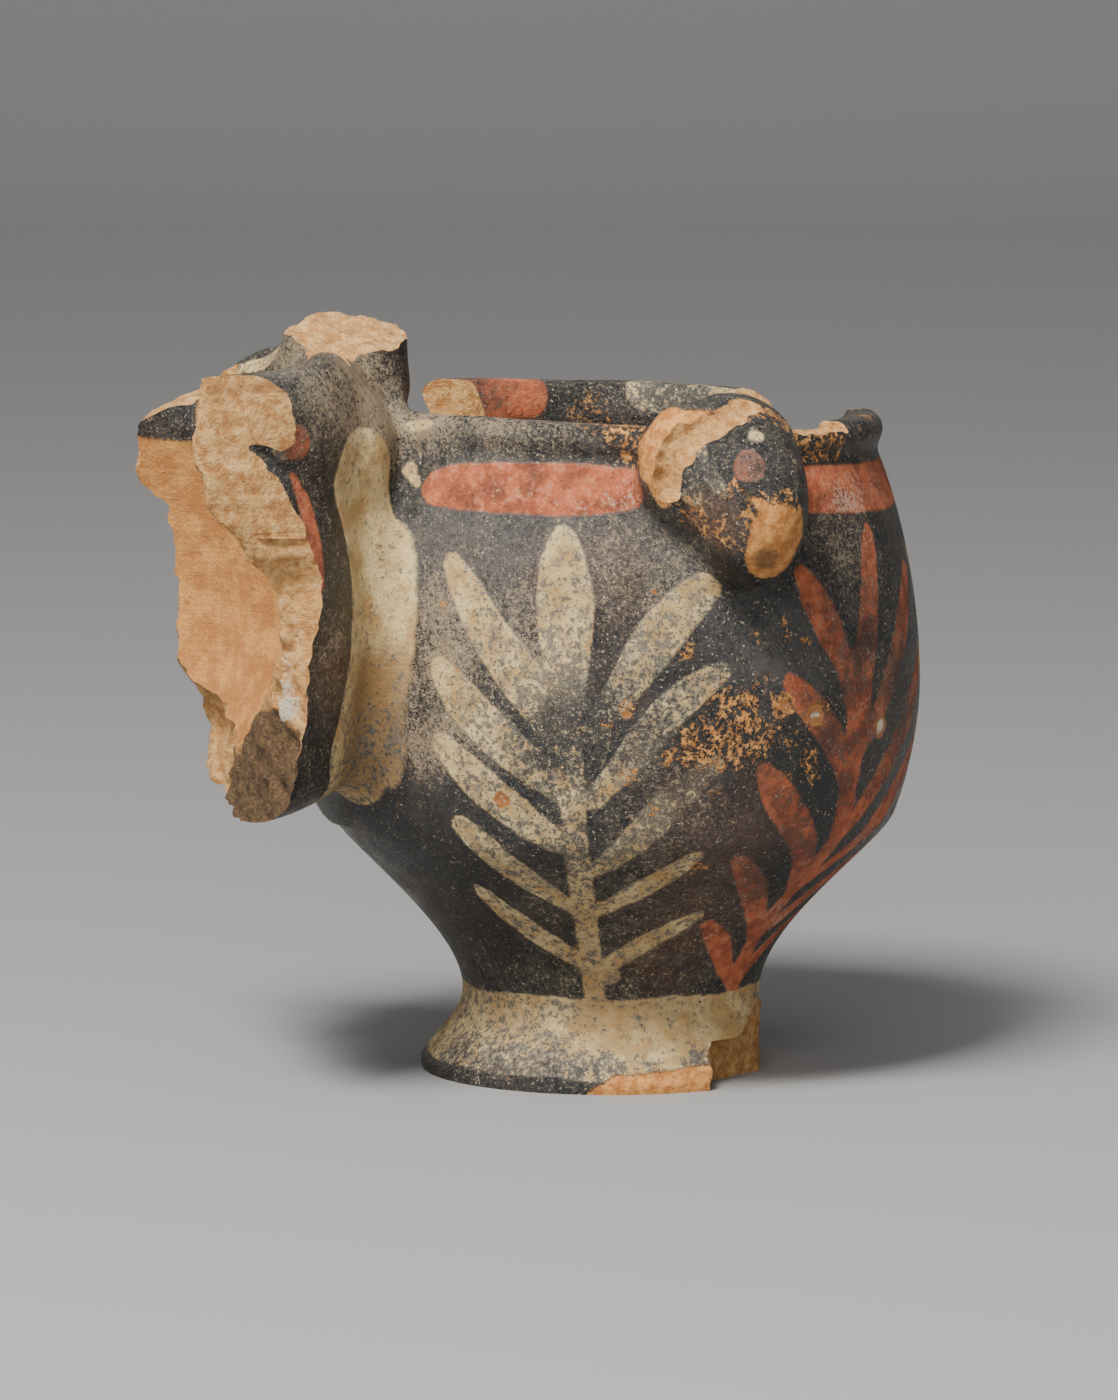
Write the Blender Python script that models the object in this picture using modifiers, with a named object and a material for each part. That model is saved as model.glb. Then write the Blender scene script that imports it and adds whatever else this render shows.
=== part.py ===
"""A small hand made jar of fired clay on a flared foot, painted with leafy sprays.

The jar stands on its foot with its axis on +Z and the origin at the centre of the foot's underside.
The broken remains of a second vessel join its wall on the -X side, with a broken handle root above
the joint. One lug handle faces -Y and another +Y. All of it is one fired body. Lengths are metres.
"""
import math
from collections import namedtuple

import bmesh
import bpy
from mathutils import Matrix, Vector, noise

NAME = "kamares_jar"

# A vessel's outer wall, from its lip down to the turn of its lower wall
Vessel = namedtuple(
    "Vessel",
    "rim_height lip_radius neck_radius neck_height belly_radius belly_height turn_radius turn_height",
)
JAR = Vessel(0.0898, 0.0364, 0.0353, 0.0852, 0.0414, 0.0533, 0.0378, 0.0344)
SIDE = Vessel(0.0903, 0.0325, 0.0312, 0.0864, 0.0360, 0.0650, 0.0335, 0.0425)

WALL = 0.0055
LIP_WALL = 0.0045
LIP_FLARE = 0.0016

# The jar's foot and the inside of its floor
WAIST_RADIUS = 0.0199
WAIST_HEIGHT = 0.0108
FOOT_RADIUS = 0.0257
FOOT_EDGE = 0.0014
FLOOR_HEIGHT = 0.0155

# The side vessel
SIDE_DISTANCE = 0.0720
SIDE_UNDERSIDE = 0.0352
SIDE_FLOOR = 0.0056
SIDE_BOWL_RADIUS = 0.0225
SIDE_BOWL_HEIGHT = 0.0475
SIDE_FLOOR_RADIUS = 0.0198
SIDE_FLOOR_SHIFT = 0.0070
JOINT_FILL_WIDTH = 0.0190
JOINT_FILL_DEPTH = 0.0050
JOINT_FILL_BOTTOM = 0.0400

# The broken root of the handle that stood over the joint
ROOT_RADIUS = 0.0082
ROOT_HEIGHT = 0.0994
ROOT_OFFSET = 0.0374
ROOT_SLOPE = math.radians(12)
SPREAD_ANGLES = (-88.0, 58.0)
SPREAD_BALLS = 36
# Rows are (angle round the side rim in degrees, crest height)
SPREAD_CREST = (
    (-88, 0.0950),
    (-72, 0.0958),
    (-50, 0.0962),
    (-22, 0.0978),
    (0, 0.0992),
    (20, 0.0964),
    (40, 0.0917),
    (58, 0.0893),
)
# Rows are (angle, half width, half height) of the balls under the crest
SPREAD_WIDTH = ((-88, 0.0034), (-60, 0.0040), (-20, 0.0058), (0, 0.0066), (20, 0.0056), (58, 0.0032))
SPREAD_DEPTH = ((-88, 0.0036), (-70, 0.0042), (-45, 0.0100), (-15, 0.0140), (15, 0.0120), (58, 0.0034))
# The clay pressed in round the foot of the root, on both sides of it
COLLAR_SIDE = 0.0105
COLLAR_SIZES = (0.0085, 0.0090, 0.0105)
COLLAR_SHIFT = 0.0045
ROOT_SPARE = 0.004
ROOT_FLARE = 0.0008

# The lug handles
LUG_ANGLE = math.radians(85)
LUG_WIDTH = 0.0156
LUG_REACH = 0.0102
LUG_TOP = 0.0940
LUG_BOTTOM = 0.0655
FAR_LUG_TOP = 0.0865
LUG_TILT = math.radians(-6)
CROWN_TILT = math.radians(25)

# How much the rim leans up towards the side vessel, and where the lean starts
RIM_LEAN = 0.040
LEAN_START = 0.0200

# Breaks, set out on axes turned by BREAK_TURN about Z, so that most of them face forward
BREAK_TURN = math.radians(-20)
RIGHT = Vector((math.cos(BREAK_TURN), math.sin(BREAK_TURN), 0.0))
FRONT = Vector((math.sin(BREAK_TURN), -math.cos(BREAK_TURN), 0.0))
BREAK_ROUGHNESS = 0.0009
BREAK_GRAIN = 0.005
FINE_BREAK_GRAIN = 0.0025
BREAK_STEP = 0.0016
CUT_DEPTH = 0.020
RIM_GAP_DEPTH = 0.0072
RIM_CHIP_DEPTH = 0.0013
RIM_CHIP_ANGLES = (math.radians(-78), math.radians(-50))
FOOT_CHIP_HEIGHT = 0.0125
LUG_SCAR_DEPTH = 0.0011
# Rows are (x, y, z, radius) of the balls that take the skin off the near lug's upper side
LUG_SCAR = (
    (0.0040, -0.0412, 0.0937, 0.0034),
    (0.0012, -0.0428, 0.0925, 0.0032),
    (-0.0018, -0.0434, 0.0908, 0.0030),
    (-0.0045, -0.0437, 0.0890, 0.0028),
    (-0.0066, -0.0434, 0.0869, 0.0027),
    (-0.0080, -0.0430, 0.0849, 0.0027),
    (-0.0084, -0.0424, 0.0829, 0.0024),
    (-0.0080, -0.0423, 0.0813, 0.0017),
)
FAR_GAP_ANGLES = (math.radians(-16), math.radians(41))
FAR_GAP_DEPTH = 0.0058

# The side vessel's long break. Rows are (height, distance from its axis towards the jar)
BREAK_FLOOR = 0.018
BREAK_TOP = 0.118
INNER_EDGE = ((0.062, 0.0174), (0.069, 0.0155), (0.075, 0.0105), (0.082, 0.0050))
OUTER_EDGE = ((0.045, 0.0180), (0.062, 0.0195), (0.069, 0.0215), (0.080, 0.0200))
FAR_EDGE = (
    (0.0400, 0.0218),
    (0.0460, 0.0230),
    (0.0490, 0.0222),
    (0.0550, 0.0182),
    (0.0640, 0.0186),
    (0.0745, 0.0176),
    (0.0790, 0.0124),
    (0.0860, 0.0132),
    (0.0930, 0.0235),
)
FAR_EDGE_START = (-0.012, 0.016)
FAR_EDGE_SLANT = 0.55
FAR_EDGE_SLANT_START = 0.0235
# Rows are (height, distance of the near break face from the jar's middle plane)
NEAR_FACE_IN = ((0.062, 0.0245), (0.069, 0.0255), (0.078, 0.0288))
NEAR_FACE_OUT = ((0.062, 0.0305), (0.069, 0.0290), (0.078, 0.0296))

# Where the surfaces that meet are rounded, as heights up the joint and reaches
JOINT_SOFT_HEIGHTS = (0.040, 0.055, 0.070, 0.084)
JOINT_SOFT_SIDE = 0.018
JOINT_SOFT = 0.014
LUG_SOFT = 0.017
ROOT_SOFT = 0.026
ROOT_SOFT_DROP = 0.012
SOFT_ROUNDS = 34

# Mesh
TURN_STEPS = 96
CURVE_STEPS = 8
GRAIN = 0.0010
TRIANGLES = 7600


def bezier(start, first, second, end, steps=CURVE_STEPS):
    """Points of a cubic curve from start to end, without its last point."""
    points = []
    for i in range(steps):
        t = i / steps
        weights = ((1 - t) ** 3, 3 * t * (1 - t) ** 2, 3 * t * t * (1 - t), t**3)
        corners = (start, first, second, end)
        points.append(tuple(sum(w * c[k] for w, c in zip(weights, corners)) for k in (0, 1)))
    return points


def blend(low, high, value):
    """0 below low, 1 above high and a smooth ramp between them."""
    t = min(max((value - low) / (high - low), 0.0), 1.0)
    return t * t * (3 - 2 * t)


def on_break_axes(right, front, height=0.0):
    """The point that lies right and front along the axes of the breaks."""
    return RIGHT * right + FRONT * front + Vector((0.0, 0.0, height))


def lean(x, z):
    """How far the wall at x and z is raised by the lean of the rim."""
    return -RIM_LEAN * x * blend(LEAN_START, JAR.rim_height, z)


def rough(point, grain, seed):
    """Smooth noise between about -1 and 1 whose lumps measure grain."""
    return noise.noise(Vector(point) / grain + Vector((seed, 2 * seed, -seed)))


def lip_points(v):
    """The everted lip as (radius, height), from its top edge out and down to the neck groove."""
    rise = v.rim_height - v.neck_height
    return [
        (v.lip_radius - 0.75 * LIP_WALL, v.rim_height - 0.03 * rise),
        (v.lip_radius - 0.35 * LIP_WALL, v.rim_height),
        (v.lip_radius - 0.08 * LIP_WALL, v.rim_height - 0.20 * rise),
        (v.lip_radius, v.rim_height - 0.48 * rise),
        (v.lip_radius - 0.10 * LIP_WALL, v.neck_height + 0.22 * rise),
    ]


def wall_points(v):
    """The outer wall as (radius, height), from the neck groove down to the turn."""
    shoulder = v.neck_height - v.belly_height
    lower = v.belly_height - v.turn_height
    swell = v.belly_radius - v.neck_radius
    upper = bezier(
        (v.neck_radius, v.neck_height),
        (v.neck_radius + 0.48 * swell, v.neck_height - 0.20 * shoulder),
        (v.belly_radius, v.belly_height + 0.40 * shoulder),
        (v.belly_radius, v.belly_height),
    )
    under = bezier(
        (v.belly_radius, v.belly_height),
        (v.belly_radius, v.belly_height - 0.39 * lower),
        (v.turn_radius + 0.42 * (v.belly_radius - v.turn_radius), v.turn_height + 0.19 * lower),
        (v.turn_radius, v.turn_height),
    )
    return upper + under + [(v.turn_radius, v.turn_height)]


def jar_outside():
    """The whole outer profile of the jar, from the axis at the top to the axis at the bottom."""
    v = JAR
    cone = bezier(
        (v.turn_radius, v.turn_height),
        (v.turn_radius - 0.0033, v.turn_height - 0.0049),
        (WAIST_RADIUS + 0.0003, WAIST_HEIGHT + 0.0082),
        (WAIST_RADIUS, WAIST_HEIGHT),
    )
    spread = FOOT_RADIUS - WAIST_RADIUS
    foot = bezier(
        (WAIST_RADIUS, WAIST_HEIGHT),
        (WAIST_RADIUS, WAIST_HEIGHT - 0.0038),
        (FOOT_RADIUS - 0.38 * spread, FOOT_EDGE + 0.0036),
        (FOOT_RADIUS, FOOT_EDGE),
    )
    edge = [(FOOT_RADIUS, FOOT_EDGE), (FOOT_RADIUS - 0.0002, 0.0), (FOOT_RADIUS - 0.0010, -0.002)]
    return [(0.0, v.rim_height)] + lip_points(v) + wall_points(v) + cone[1:] + foot + edge + [(0.0, -0.002)]


def side_outside():
    """The outer profile of the side vessel, whose underside is nearly flat."""
    v = SIDE
    under = bezier(
        (v.turn_radius, v.turn_height),
        (v.turn_radius - 0.0045, v.turn_height - 0.0048),
        (0.6 * v.turn_radius, SIDE_UNDERSIDE),
        (0.0, SIDE_UNDERSIDE),
    )
    return [(0.0, v.rim_height)] + lip_points(v) + wall_points(v) + under[1:] + [(0.0, SIDE_UNDERSIDE)]


def hollow_profile(v, turn_radius, turn_height, floor_radius, floor_height):
    """The inside of a vessel as a solid, from above its mouth down to its floor."""
    mouth = v.neck_radius - LIP_WALL
    inner = v.belly_radius - WALL
    shoulder = v.neck_height - v.belly_height
    upper = bezier(
        (mouth, v.neck_height),
        (mouth + 0.45 * (inner - mouth), v.neck_height - 0.25 * shoulder),
        (inner, v.belly_height + 0.40 * shoulder),
        (inner, v.belly_height),
    )
    lower = bezier(
        (inner, v.belly_height),
        (inner, 0.5 * (v.belly_height + turn_height)),
        (turn_radius, turn_height),
        (floor_radius, 0.5 * (turn_height + floor_height)),
    )
    floor = bezier(
        (floor_radius, 0.5 * (turn_height + floor_height)),
        (0.7 * floor_radius, floor_height),
        (0.4 * floor_radius, floor_height),
        (0.0, floor_height),
    )
    top = v.rim_height + LIP_FLARE
    flare = [(0.0, top), (mouth + LIP_FLARE, top), (mouth + 0.4 * LIP_FLARE, v.rim_height - LIP_FLARE)]
    return flare + upper + lower + floor + [(0.0, floor_height)]


def jar_hollow():
    v = JAR
    return hollow_profile(v, v.turn_radius - WALL, v.turn_height + 0.003, WAIST_RADIUS - 0.004, FLOOR_HEIGHT)


def side_hollow():
    v = SIDE
    floor = SIDE_UNDERSIDE + SIDE_FLOOR
    return hollow_profile(v, SIDE_BOWL_RADIUS, SIDE_BOWL_HEIGHT, SIDE_FLOOR_RADIUS, floor)


def shifted_floor(body):
    """Moves the lower part of a settled hollow sideways, so that the wall is thicker on the near side."""
    floor = SIDE_UNDERSIDE + SIDE_FLOOR
    for vertex in body.data.vertices:
        vertex.co.y += SIDE_FLOOR_SHIFT * (1 - blend(floor, SIDE.belly_height, vertex.co.z))
    return body


def add_object(name, mesh, group):
    body = bpy.data.objects.new(name, mesh)
    group.objects.link(body)
    return body


def settled_mesh(body):
    """The mesh of an object with its modifiers applied, in world space."""
    depsgraph = bpy.context.evaluated_depsgraph_get()
    mesh = bpy.data.meshes.new_from_object(body.evaluated_get(depsgraph))
    mesh.transform(body.matrix_world)
    return mesh


def turned(name, profile, group, centre=(0.0, 0.0)):
    """A closed solid of revolution about a vertical axis through centre."""
    mesh = bpy.data.meshes.new(name)
    mesh.from_pydata([(r, 0.0, z) for r, z in profile], [(i, i + 1) for i in range(len(profile) - 1)], [])
    body = add_object(name, mesh, group)
    screw = body.modifiers.new("turn", "SCREW")
    screw.steps = TURN_STEPS
    screw.render_steps = TURN_STEPS
    screw.use_merge_vertices = True
    screw.merge_threshold = 0.00001
    body.location = (centre[0], centre[1], 0.0)
    bpy.context.view_layer.update()
    return body


def egg(name, centre, half_sizes, turn, group, tilt=0.0):
    """A ball stretched to half_sizes along its own axes, then tilted and turned about Z."""
    bm = bmesh.new()
    bmesh.ops.create_uvsphere(bm, u_segments=48, v_segments=28, radius=1.0)
    size = Matrix.Diagonal((*half_sizes, 1.0))
    pose = Matrix.Translation(centre) @ Matrix.Rotation(turn, 4, "Z") @ Matrix.Rotation(tilt, 4, "Y")
    bmesh.ops.transform(bm, matrix=pose @ size, verts=bm.verts)
    mesh = bpy.data.meshes.new(name)
    bm.to_mesh(mesh)
    bm.free()
    return add_object(name, mesh, group)


def joined(name, bodies, group):
    """One object that holds the settled meshes of several bodies, which may overlap."""
    bm = bmesh.new()
    for body in bodies:
        mesh = settled_mesh(body)
        bm.from_mesh(mesh)
        bpy.data.meshes.remove(mesh)
    mesh = bpy.data.meshes.new(name)
    bm.to_mesh(mesh)
    bm.free()
    for body in bodies:
        bpy.data.objects.remove(body)
    return add_object(name, mesh, group)


def cut(body, cutter):
    """Takes cutter away from body."""
    step = body.modifiers.new("cut " + cutter.name, "BOOLEAN")
    step.operation = "DIFFERENCE"
    step.object = cutter
    cutter.hide_render = True
    cutter.display_type = "WIRE"


def settle(body):
    """Replaces an object's mesh by the result of its modifiers."""
    mesh = settled_mesh(body)
    body.modifiers.clear()
    body.matrix_world = Matrix()
    body.data = mesh
    return body


def remeshed(body, size):
    step = body.modifiers.new("remesh", "REMESH")
    step.mode = "VOXEL"
    step.voxel_size = size
    return settle(body)


def softened(body, places, rounds):
    """Smooths the surface near each (centre, reach) of places, which rounds off where bodies meet."""
    group = body.vertex_groups.new(name="soft")
    for vertex in body.data.vertices:
        weight = max(1 - blend(0.55 * reach, reach, (vertex.co - centre).length) for centre, reach in places)
        if weight > 0:
            group.add([vertex.index], weight, "REPLACE")
    step = body.modifiers.new("soften", "SMOOTH")
    step.factor = 0.5
    step.iterations = rounds
    step.vertex_group = group.name
    return settle(body)


def thinned(body, triangles):
    """Reduces a body to about this many triangles."""
    count = sum(len(face.vertices) - 2 for face in body.data.polygons)
    step = body.modifiers.new("thin", "DECIMATE")
    step.ratio = min(1.0, triangles / count)
    return settle(body)


def finish(body):
    """Gives the fired clay its colour and shades it smooth up to its breaks."""
    clay = bpy.data.materials.new("fired_clay")
    clay.use_nodes = True
    shader = clay.node_tree.nodes["Principled BSDF"]
    shader.inputs["Base Color"].default_value = (0.045, 0.042, 0.040, 1.0)
    shader.inputs["Roughness"].default_value = 0.45
    shader.inputs["Metallic"].default_value = 0.0
    body.data.materials.clear()
    body.data.materials.append(clay)
    body.data.shade_smooth()
    body.data.set_sharp_from_angle(angle=math.radians(35))


def lug(name, angle, top, group, scarred=False):
    """A solid lug handle that grows from the shoulder to its top, facing angle.

    A scarred lug is wider on its side towards the joint, where a break later takes its skin off.
    """
    away = Vector((math.cos(angle), math.sin(angle), 0.0))
    middle = 0.5 * (top + LUG_BOTTOM)
    half = 0.5 * (top - LUG_BOTTOM)
    outer = JAR.belly_radius - 0.0010
    knee = egg(
        name + "_knee",
        away * (outer + 0.10 * LUG_REACH) + Vector((0, 0, middle + 0.10 * half)),
        (LUG_REACH, 0.5 * LUG_WIDTH, 0.86 * half),
        angle,
        group,
        tilt=LUG_TILT,
    )
    crown = egg(
        name + "_crown",
        away * (JAR.neck_radius + 0.35 * LUG_REACH) + Vector((0, 0, top - 0.46 * half)),
        (0.88 * LUG_REACH, 0.52 * LUG_WIDTH, 0.46 * half),
        angle,
        group,
        tilt=CROWN_TILT,
    )
    bodies = [knee, crown]
    if scarred:
        beside = -angle / abs(angle) * away.cross(Vector((0, 0, 1)))
        scar = away * (JAR.neck_radius + 0.28 * LUG_REACH) + beside * 0.44 * LUG_WIDTH
        scar.z = top - 0.66 * half
        sizes = (0.62 * LUG_REACH, 0.44 * LUG_WIDTH, 0.62 * half)
        bodies.append(egg(name + "_scar", scar, sizes, angle, group))
    return bodies


def handle_root(group):
    """The root of the lost handle, standing on the joint of the two vessels and spread along the side rim."""
    low = JAR.rim_height - 0.5 * (ROOT_HEIGHT - JAR.rim_height)
    profile = [
        (0.0, ROOT_HEIGHT + ROOT_SPARE),
        (ROOT_RADIUS, ROOT_HEIGHT + ROOT_SPARE),
        (ROOT_RADIUS, ROOT_HEIGHT - ROOT_SPARE),
        (ROOT_RADIUS + ROOT_FLARE, JAR.rim_height + ROOT_FLARE),
        (0.78 * ROOT_RADIUS, JAR.rim_height - 0.5 * ROOT_SPARE),
        (0.4 * ROOT_RADIUS, low),
        (0.0, low),
    ]
    bodies = [turned("root_stub", profile, group, (-ROOT_OFFSET, 0.0))]
    ring = SIDE.lip_radius - 0.5 * LIP_WALL
    near, far = SPREAD_ANGLES
    for i in range(SPREAD_BALLS + 1):
        turn = near + (far - near) * i / SPREAD_BALLS
        angle = math.radians(turn)
        width = stations(turn, SPREAD_WIDTH)
        depth = stations(turn, SPREAD_DEPTH)
        height = stations(turn, SPREAD_CREST) - depth
        centre = (-SIDE_DISTANCE + ring * math.cos(angle), ring * math.sin(angle), height)
        bodies.append(egg("root_spread_%02d" % i, centre, (width, width, depth), angle, group))
    return bodies


def joint_fill(group):
    """The clay pressed into the crease between the two vessels and round the foot of the root."""
    top = JAR.rim_height - 0.5 * LIP_WALL
    half = 0.5 * (top - JOINT_FILL_BOTTOM)
    crease = 0.5 * (JAR.belly_radius + SIDE_DISTANCE - SIDE.belly_radius)
    sizes = (JOINT_FILL_DEPTH, JOINT_FILL_WIDTH, 1.25 * half)
    bodies = [egg("joint_fill", (-crease, 0.0, top - half), sizes, 0.0, group)]
    for side in (-1, 1):
        centre = (-crease - COLLAR_SHIFT, side * COLLAR_SIDE, top - 0.32 * COLLAR_SIZES[2])
        bodies.append(egg("collar", centre, COLLAR_SIZES, 0.0, group))
    return bodies


def slab(name, place, columns, rows, push, group):
    """A rough sheet whose points are place(u, v) for u and v from 0 to 1, thickened by push."""
    bm = bmesh.new()
    bmesh.ops.create_grid(bm, x_segments=columns, y_segments=rows, size=0.5)
    for vertex in bm.verts:
        vertex.co = place(vertex.co.x + 0.5, vertex.co.y + 0.5)
    back = bmesh.ops.extrude_face_region(bm, geom=bm.faces[:])
    moved = [item for item in back["geom"] if isinstance(item, bmesh.types.BMVert)]
    bmesh.ops.translate(bm, vec=push, verts=moved)
    bmesh.ops.recalc_face_normals(bm, faces=bm.faces)
    mesh = bpy.data.meshes.new(name)
    bm.to_mesh(mesh)
    bm.free()
    return add_object(name, mesh, group)


def stations(value, table):
    """Reads a table of (position, result) rows, with smooth ramps between the rows."""
    if value <= table[0][0]:
        return table[0][1]
    for (low, first), (high, second) in zip(table, table[1:]):
        if value <= high:
            return first + (second - first) * blend(low, high, value)
    return table[-1][1]


def side_break(u, v):
    """The fracture that took away most of the side vessel, as x over y and z."""
    reach = 1.5 * SIDE.belly_radius
    near = -0.61 * SIDE.belly_radius
    turn = -0.92 * SIDE.belly_radius
    y = stations(u, ((0.0, reach), (0.55, near), (0.9, turn), (1.0, -reach)))
    y = y if u > 0.55 else reach + (near - reach) * u / 0.55
    low = BREAK_FLOOR + (BREAK_TOP - BREAK_FLOOR) * v
    axis = -SIDE_DISTANCE
    z = low + lean(axis + 0.5 * SIDE.belly_radius, low)
    inner = axis + stations(z, INNER_EDGE)
    outer = axis + stations(z, OUTER_EDGE)
    far = axis + stations(z, FAR_EDGE)
    first = stations(z, NEAR_FACE_IN)
    last = stations(z, NEAR_FACE_OUT)
    x = outer + (inner - outer) * blend(-last, -first, y)
    x = x + (far - x) * blend(*FAR_EDGE_START, y)
    x += FAR_EDGE_SLANT * max(0.0, y - FAR_EDGE_SLANT_START)
    point = Vector((x, y, low))
    x += BREAK_ROUGHNESS * (rough(point, BREAK_GRAIN, 3) + 0.5 * rough(point, FINE_BREAK_GRAIN, 8))
    y += BREAK_ROUGHNESS * 0.7 * rough(point, BREAK_GRAIN, 11)
    return Vector((x, y, low))


def fence(path, low, high, seed):
    """A rough upright sheet along a path of points, from low to high, for slab."""
    steps = len(path) - 1

    def place(u, v):
        index = min(int(u * steps), steps - 1)
        share = u * steps - index
        point = path[index].lerp(path[index + 1], share)
        point = Vector((point.x, point.y, low + (high - low) * v))
        shift = BREAK_ROUGHNESS * rough(point, BREAK_GRAIN, seed)
        return point + Vector((shift, shift * rough(point, BREAK_GRAIN, seed + 4), 0.0))

    return place


def foot_chip(group):
    """The piece lost from the foot, from its front right to its far right."""
    inner = 0.97 * WAIST_RADIUS
    path = [
        on_break_axes(0.50 * FOOT_RADIUS, 1.30 * FOOT_RADIUS),
        on_break_axes(0.52 * FOOT_RADIUS, 0.72 * inner),
        on_break_axes(inner, 0.27 * inner),
        on_break_axes(1.02 * inner, -0.30 * inner),
        on_break_axes(0.96 * inner, -0.95 * inner),
        on_break_axes(1.15 * inner, -1.50 * inner),
    ]
    place = fence(path, -0.3 * FOOT_CHIP_HEIGHT, FOOT_CHIP_HEIGHT, 5)
    return slab("foot_chip", place, 40, 10, (RIGHT + 0.3 * FRONT) * CUT_DEPTH, group)


def rim_gap(group):
    """The stretch of rim lost behind the handle root, from its floor up."""
    low = JAR.rim_height - RIM_GAP_DEPTH
    left = -1.10 * ROOT_OFFSET
    right = -0.455 * JAR.lip_radius
    back = -0.706 * JAR.lip_radius
    front = -0.10 * JAR.lip_radius

    def place(u, v):
        point = on_break_axes(left + (right - left) * u, back + (front - back) * v, low)
        climb = RIM_GAP_DEPTH * blend(0.45, 1.0, v)
        return point + Vector((0, 0, climb + 1.6 * BREAK_ROUGHNESS * rough(point, BREAK_GRAIN, 2)))

    return slab("rim_gap", place, 14, 12, (0, 0, CUT_DEPTH), group)


def rim_chip(group):
    """A shallow break along the top of the lip, right of the near lug."""
    low = JAR.rim_height - RIM_CHIP_DEPTH
    first, last = RIM_CHIP_ANGLES

    def place(u, v):
        angle = first + (last - first) * u
        radius = JAR.lip_radius * (0.80 + 0.30 * v)
        point = Vector((radius * math.cos(angle), radius * math.sin(angle), low))
        return point + Vector((0, 0, BREAK_ROUGHNESS * 0.6 * rough(point, BREAK_GRAIN, 6)))

    return slab("rim_chip", place, 16, 8, (0, 0, CUT_DEPTH), group)


def flat_ground(u, v):
    """The level surface that the foot stands on."""
    size = 4 * FOOT_RADIUS
    return Vector((size * (u - 0.5), size * (v - 0.5), 0.0))


def facing(normal, along):
    """A rotation whose Z axis is normal and whose X axis lies nearest to along."""
    z = normal.normalized()
    x = (along - z * along.dot(z)).normalized()
    y = z.cross(x)
    return Matrix((x, y, z)).transposed().to_4x4()


def flat_break(name, point, normal, along, length, width, seed, group):
    """Takes away what lies beyond a rough plane through point, over length by width."""
    pose = Matrix.Translation(point) @ facing(normal, along)

    def place(u, v):
        spot = Vector((length * (u - 0.5), width * (v - 0.5), 0.0))
        fine = rough(spot, FINE_BREAK_GRAIN, seed + 1)
        spot.z = BREAK_ROUGHNESS * (rough(spot, BREAK_GRAIN, seed) + 0.4 * fine)
        return pose @ spot

    columns = max(int(length / BREAK_STEP), 2)
    rows = max(int(width / BREAK_STEP), 2)
    return slab(name, place, columns, rows, normal.normalized() * CUT_DEPTH, group)


def lug_scar(group):
    """The strip of skin lost from the near lug's top, down its side towards the joint."""
    out = FRONT * 0.8 + Vector((0, 0, 0.6)) - RIGHT * 0.25
    balls = []
    for x, y, z, radius in LUG_SCAR:
        centre = Vector((x, y, z)) + out.normalized() * (radius - LUG_SCAR_DEPTH)
        balls.append(egg("lug_scar", centre, (radius, radius, radius), 0.0, group))
    scar = remeshed(joined("lug_scar", balls, group), GRAIN)
    for vertex in scar.data.vertices:
        vertex.co += vertex.normal * 0.5 * BREAK_ROUGHNESS * rough(vertex.co, BREAK_GRAIN, 9)
    return scar


def far_gap(group):
    """The stretch of rim lost on the far right, deepest in its middle."""
    first, last = FAR_GAP_ANGLES

    def place(u, v):
        angle = first + (last - first) * u
        radius = JAR.lip_radius * (0.78 + 0.34 * v)
        depth = FAR_GAP_DEPTH * blend(0.0, 0.22, u) * blend(1.0, 0.72, u) - 0.3 * LIP_FLARE
        point = Vector((radius * math.cos(angle), radius * math.sin(angle), JAR.rim_height - depth))
        return point + Vector((0, 0, 1.2 * BREAK_ROUGHNESS * rough(point, BREAK_GRAIN, 16)))

    return slab("far_gap", place, 34, 8, (0, 0, CUT_DEPTH), group)


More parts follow.
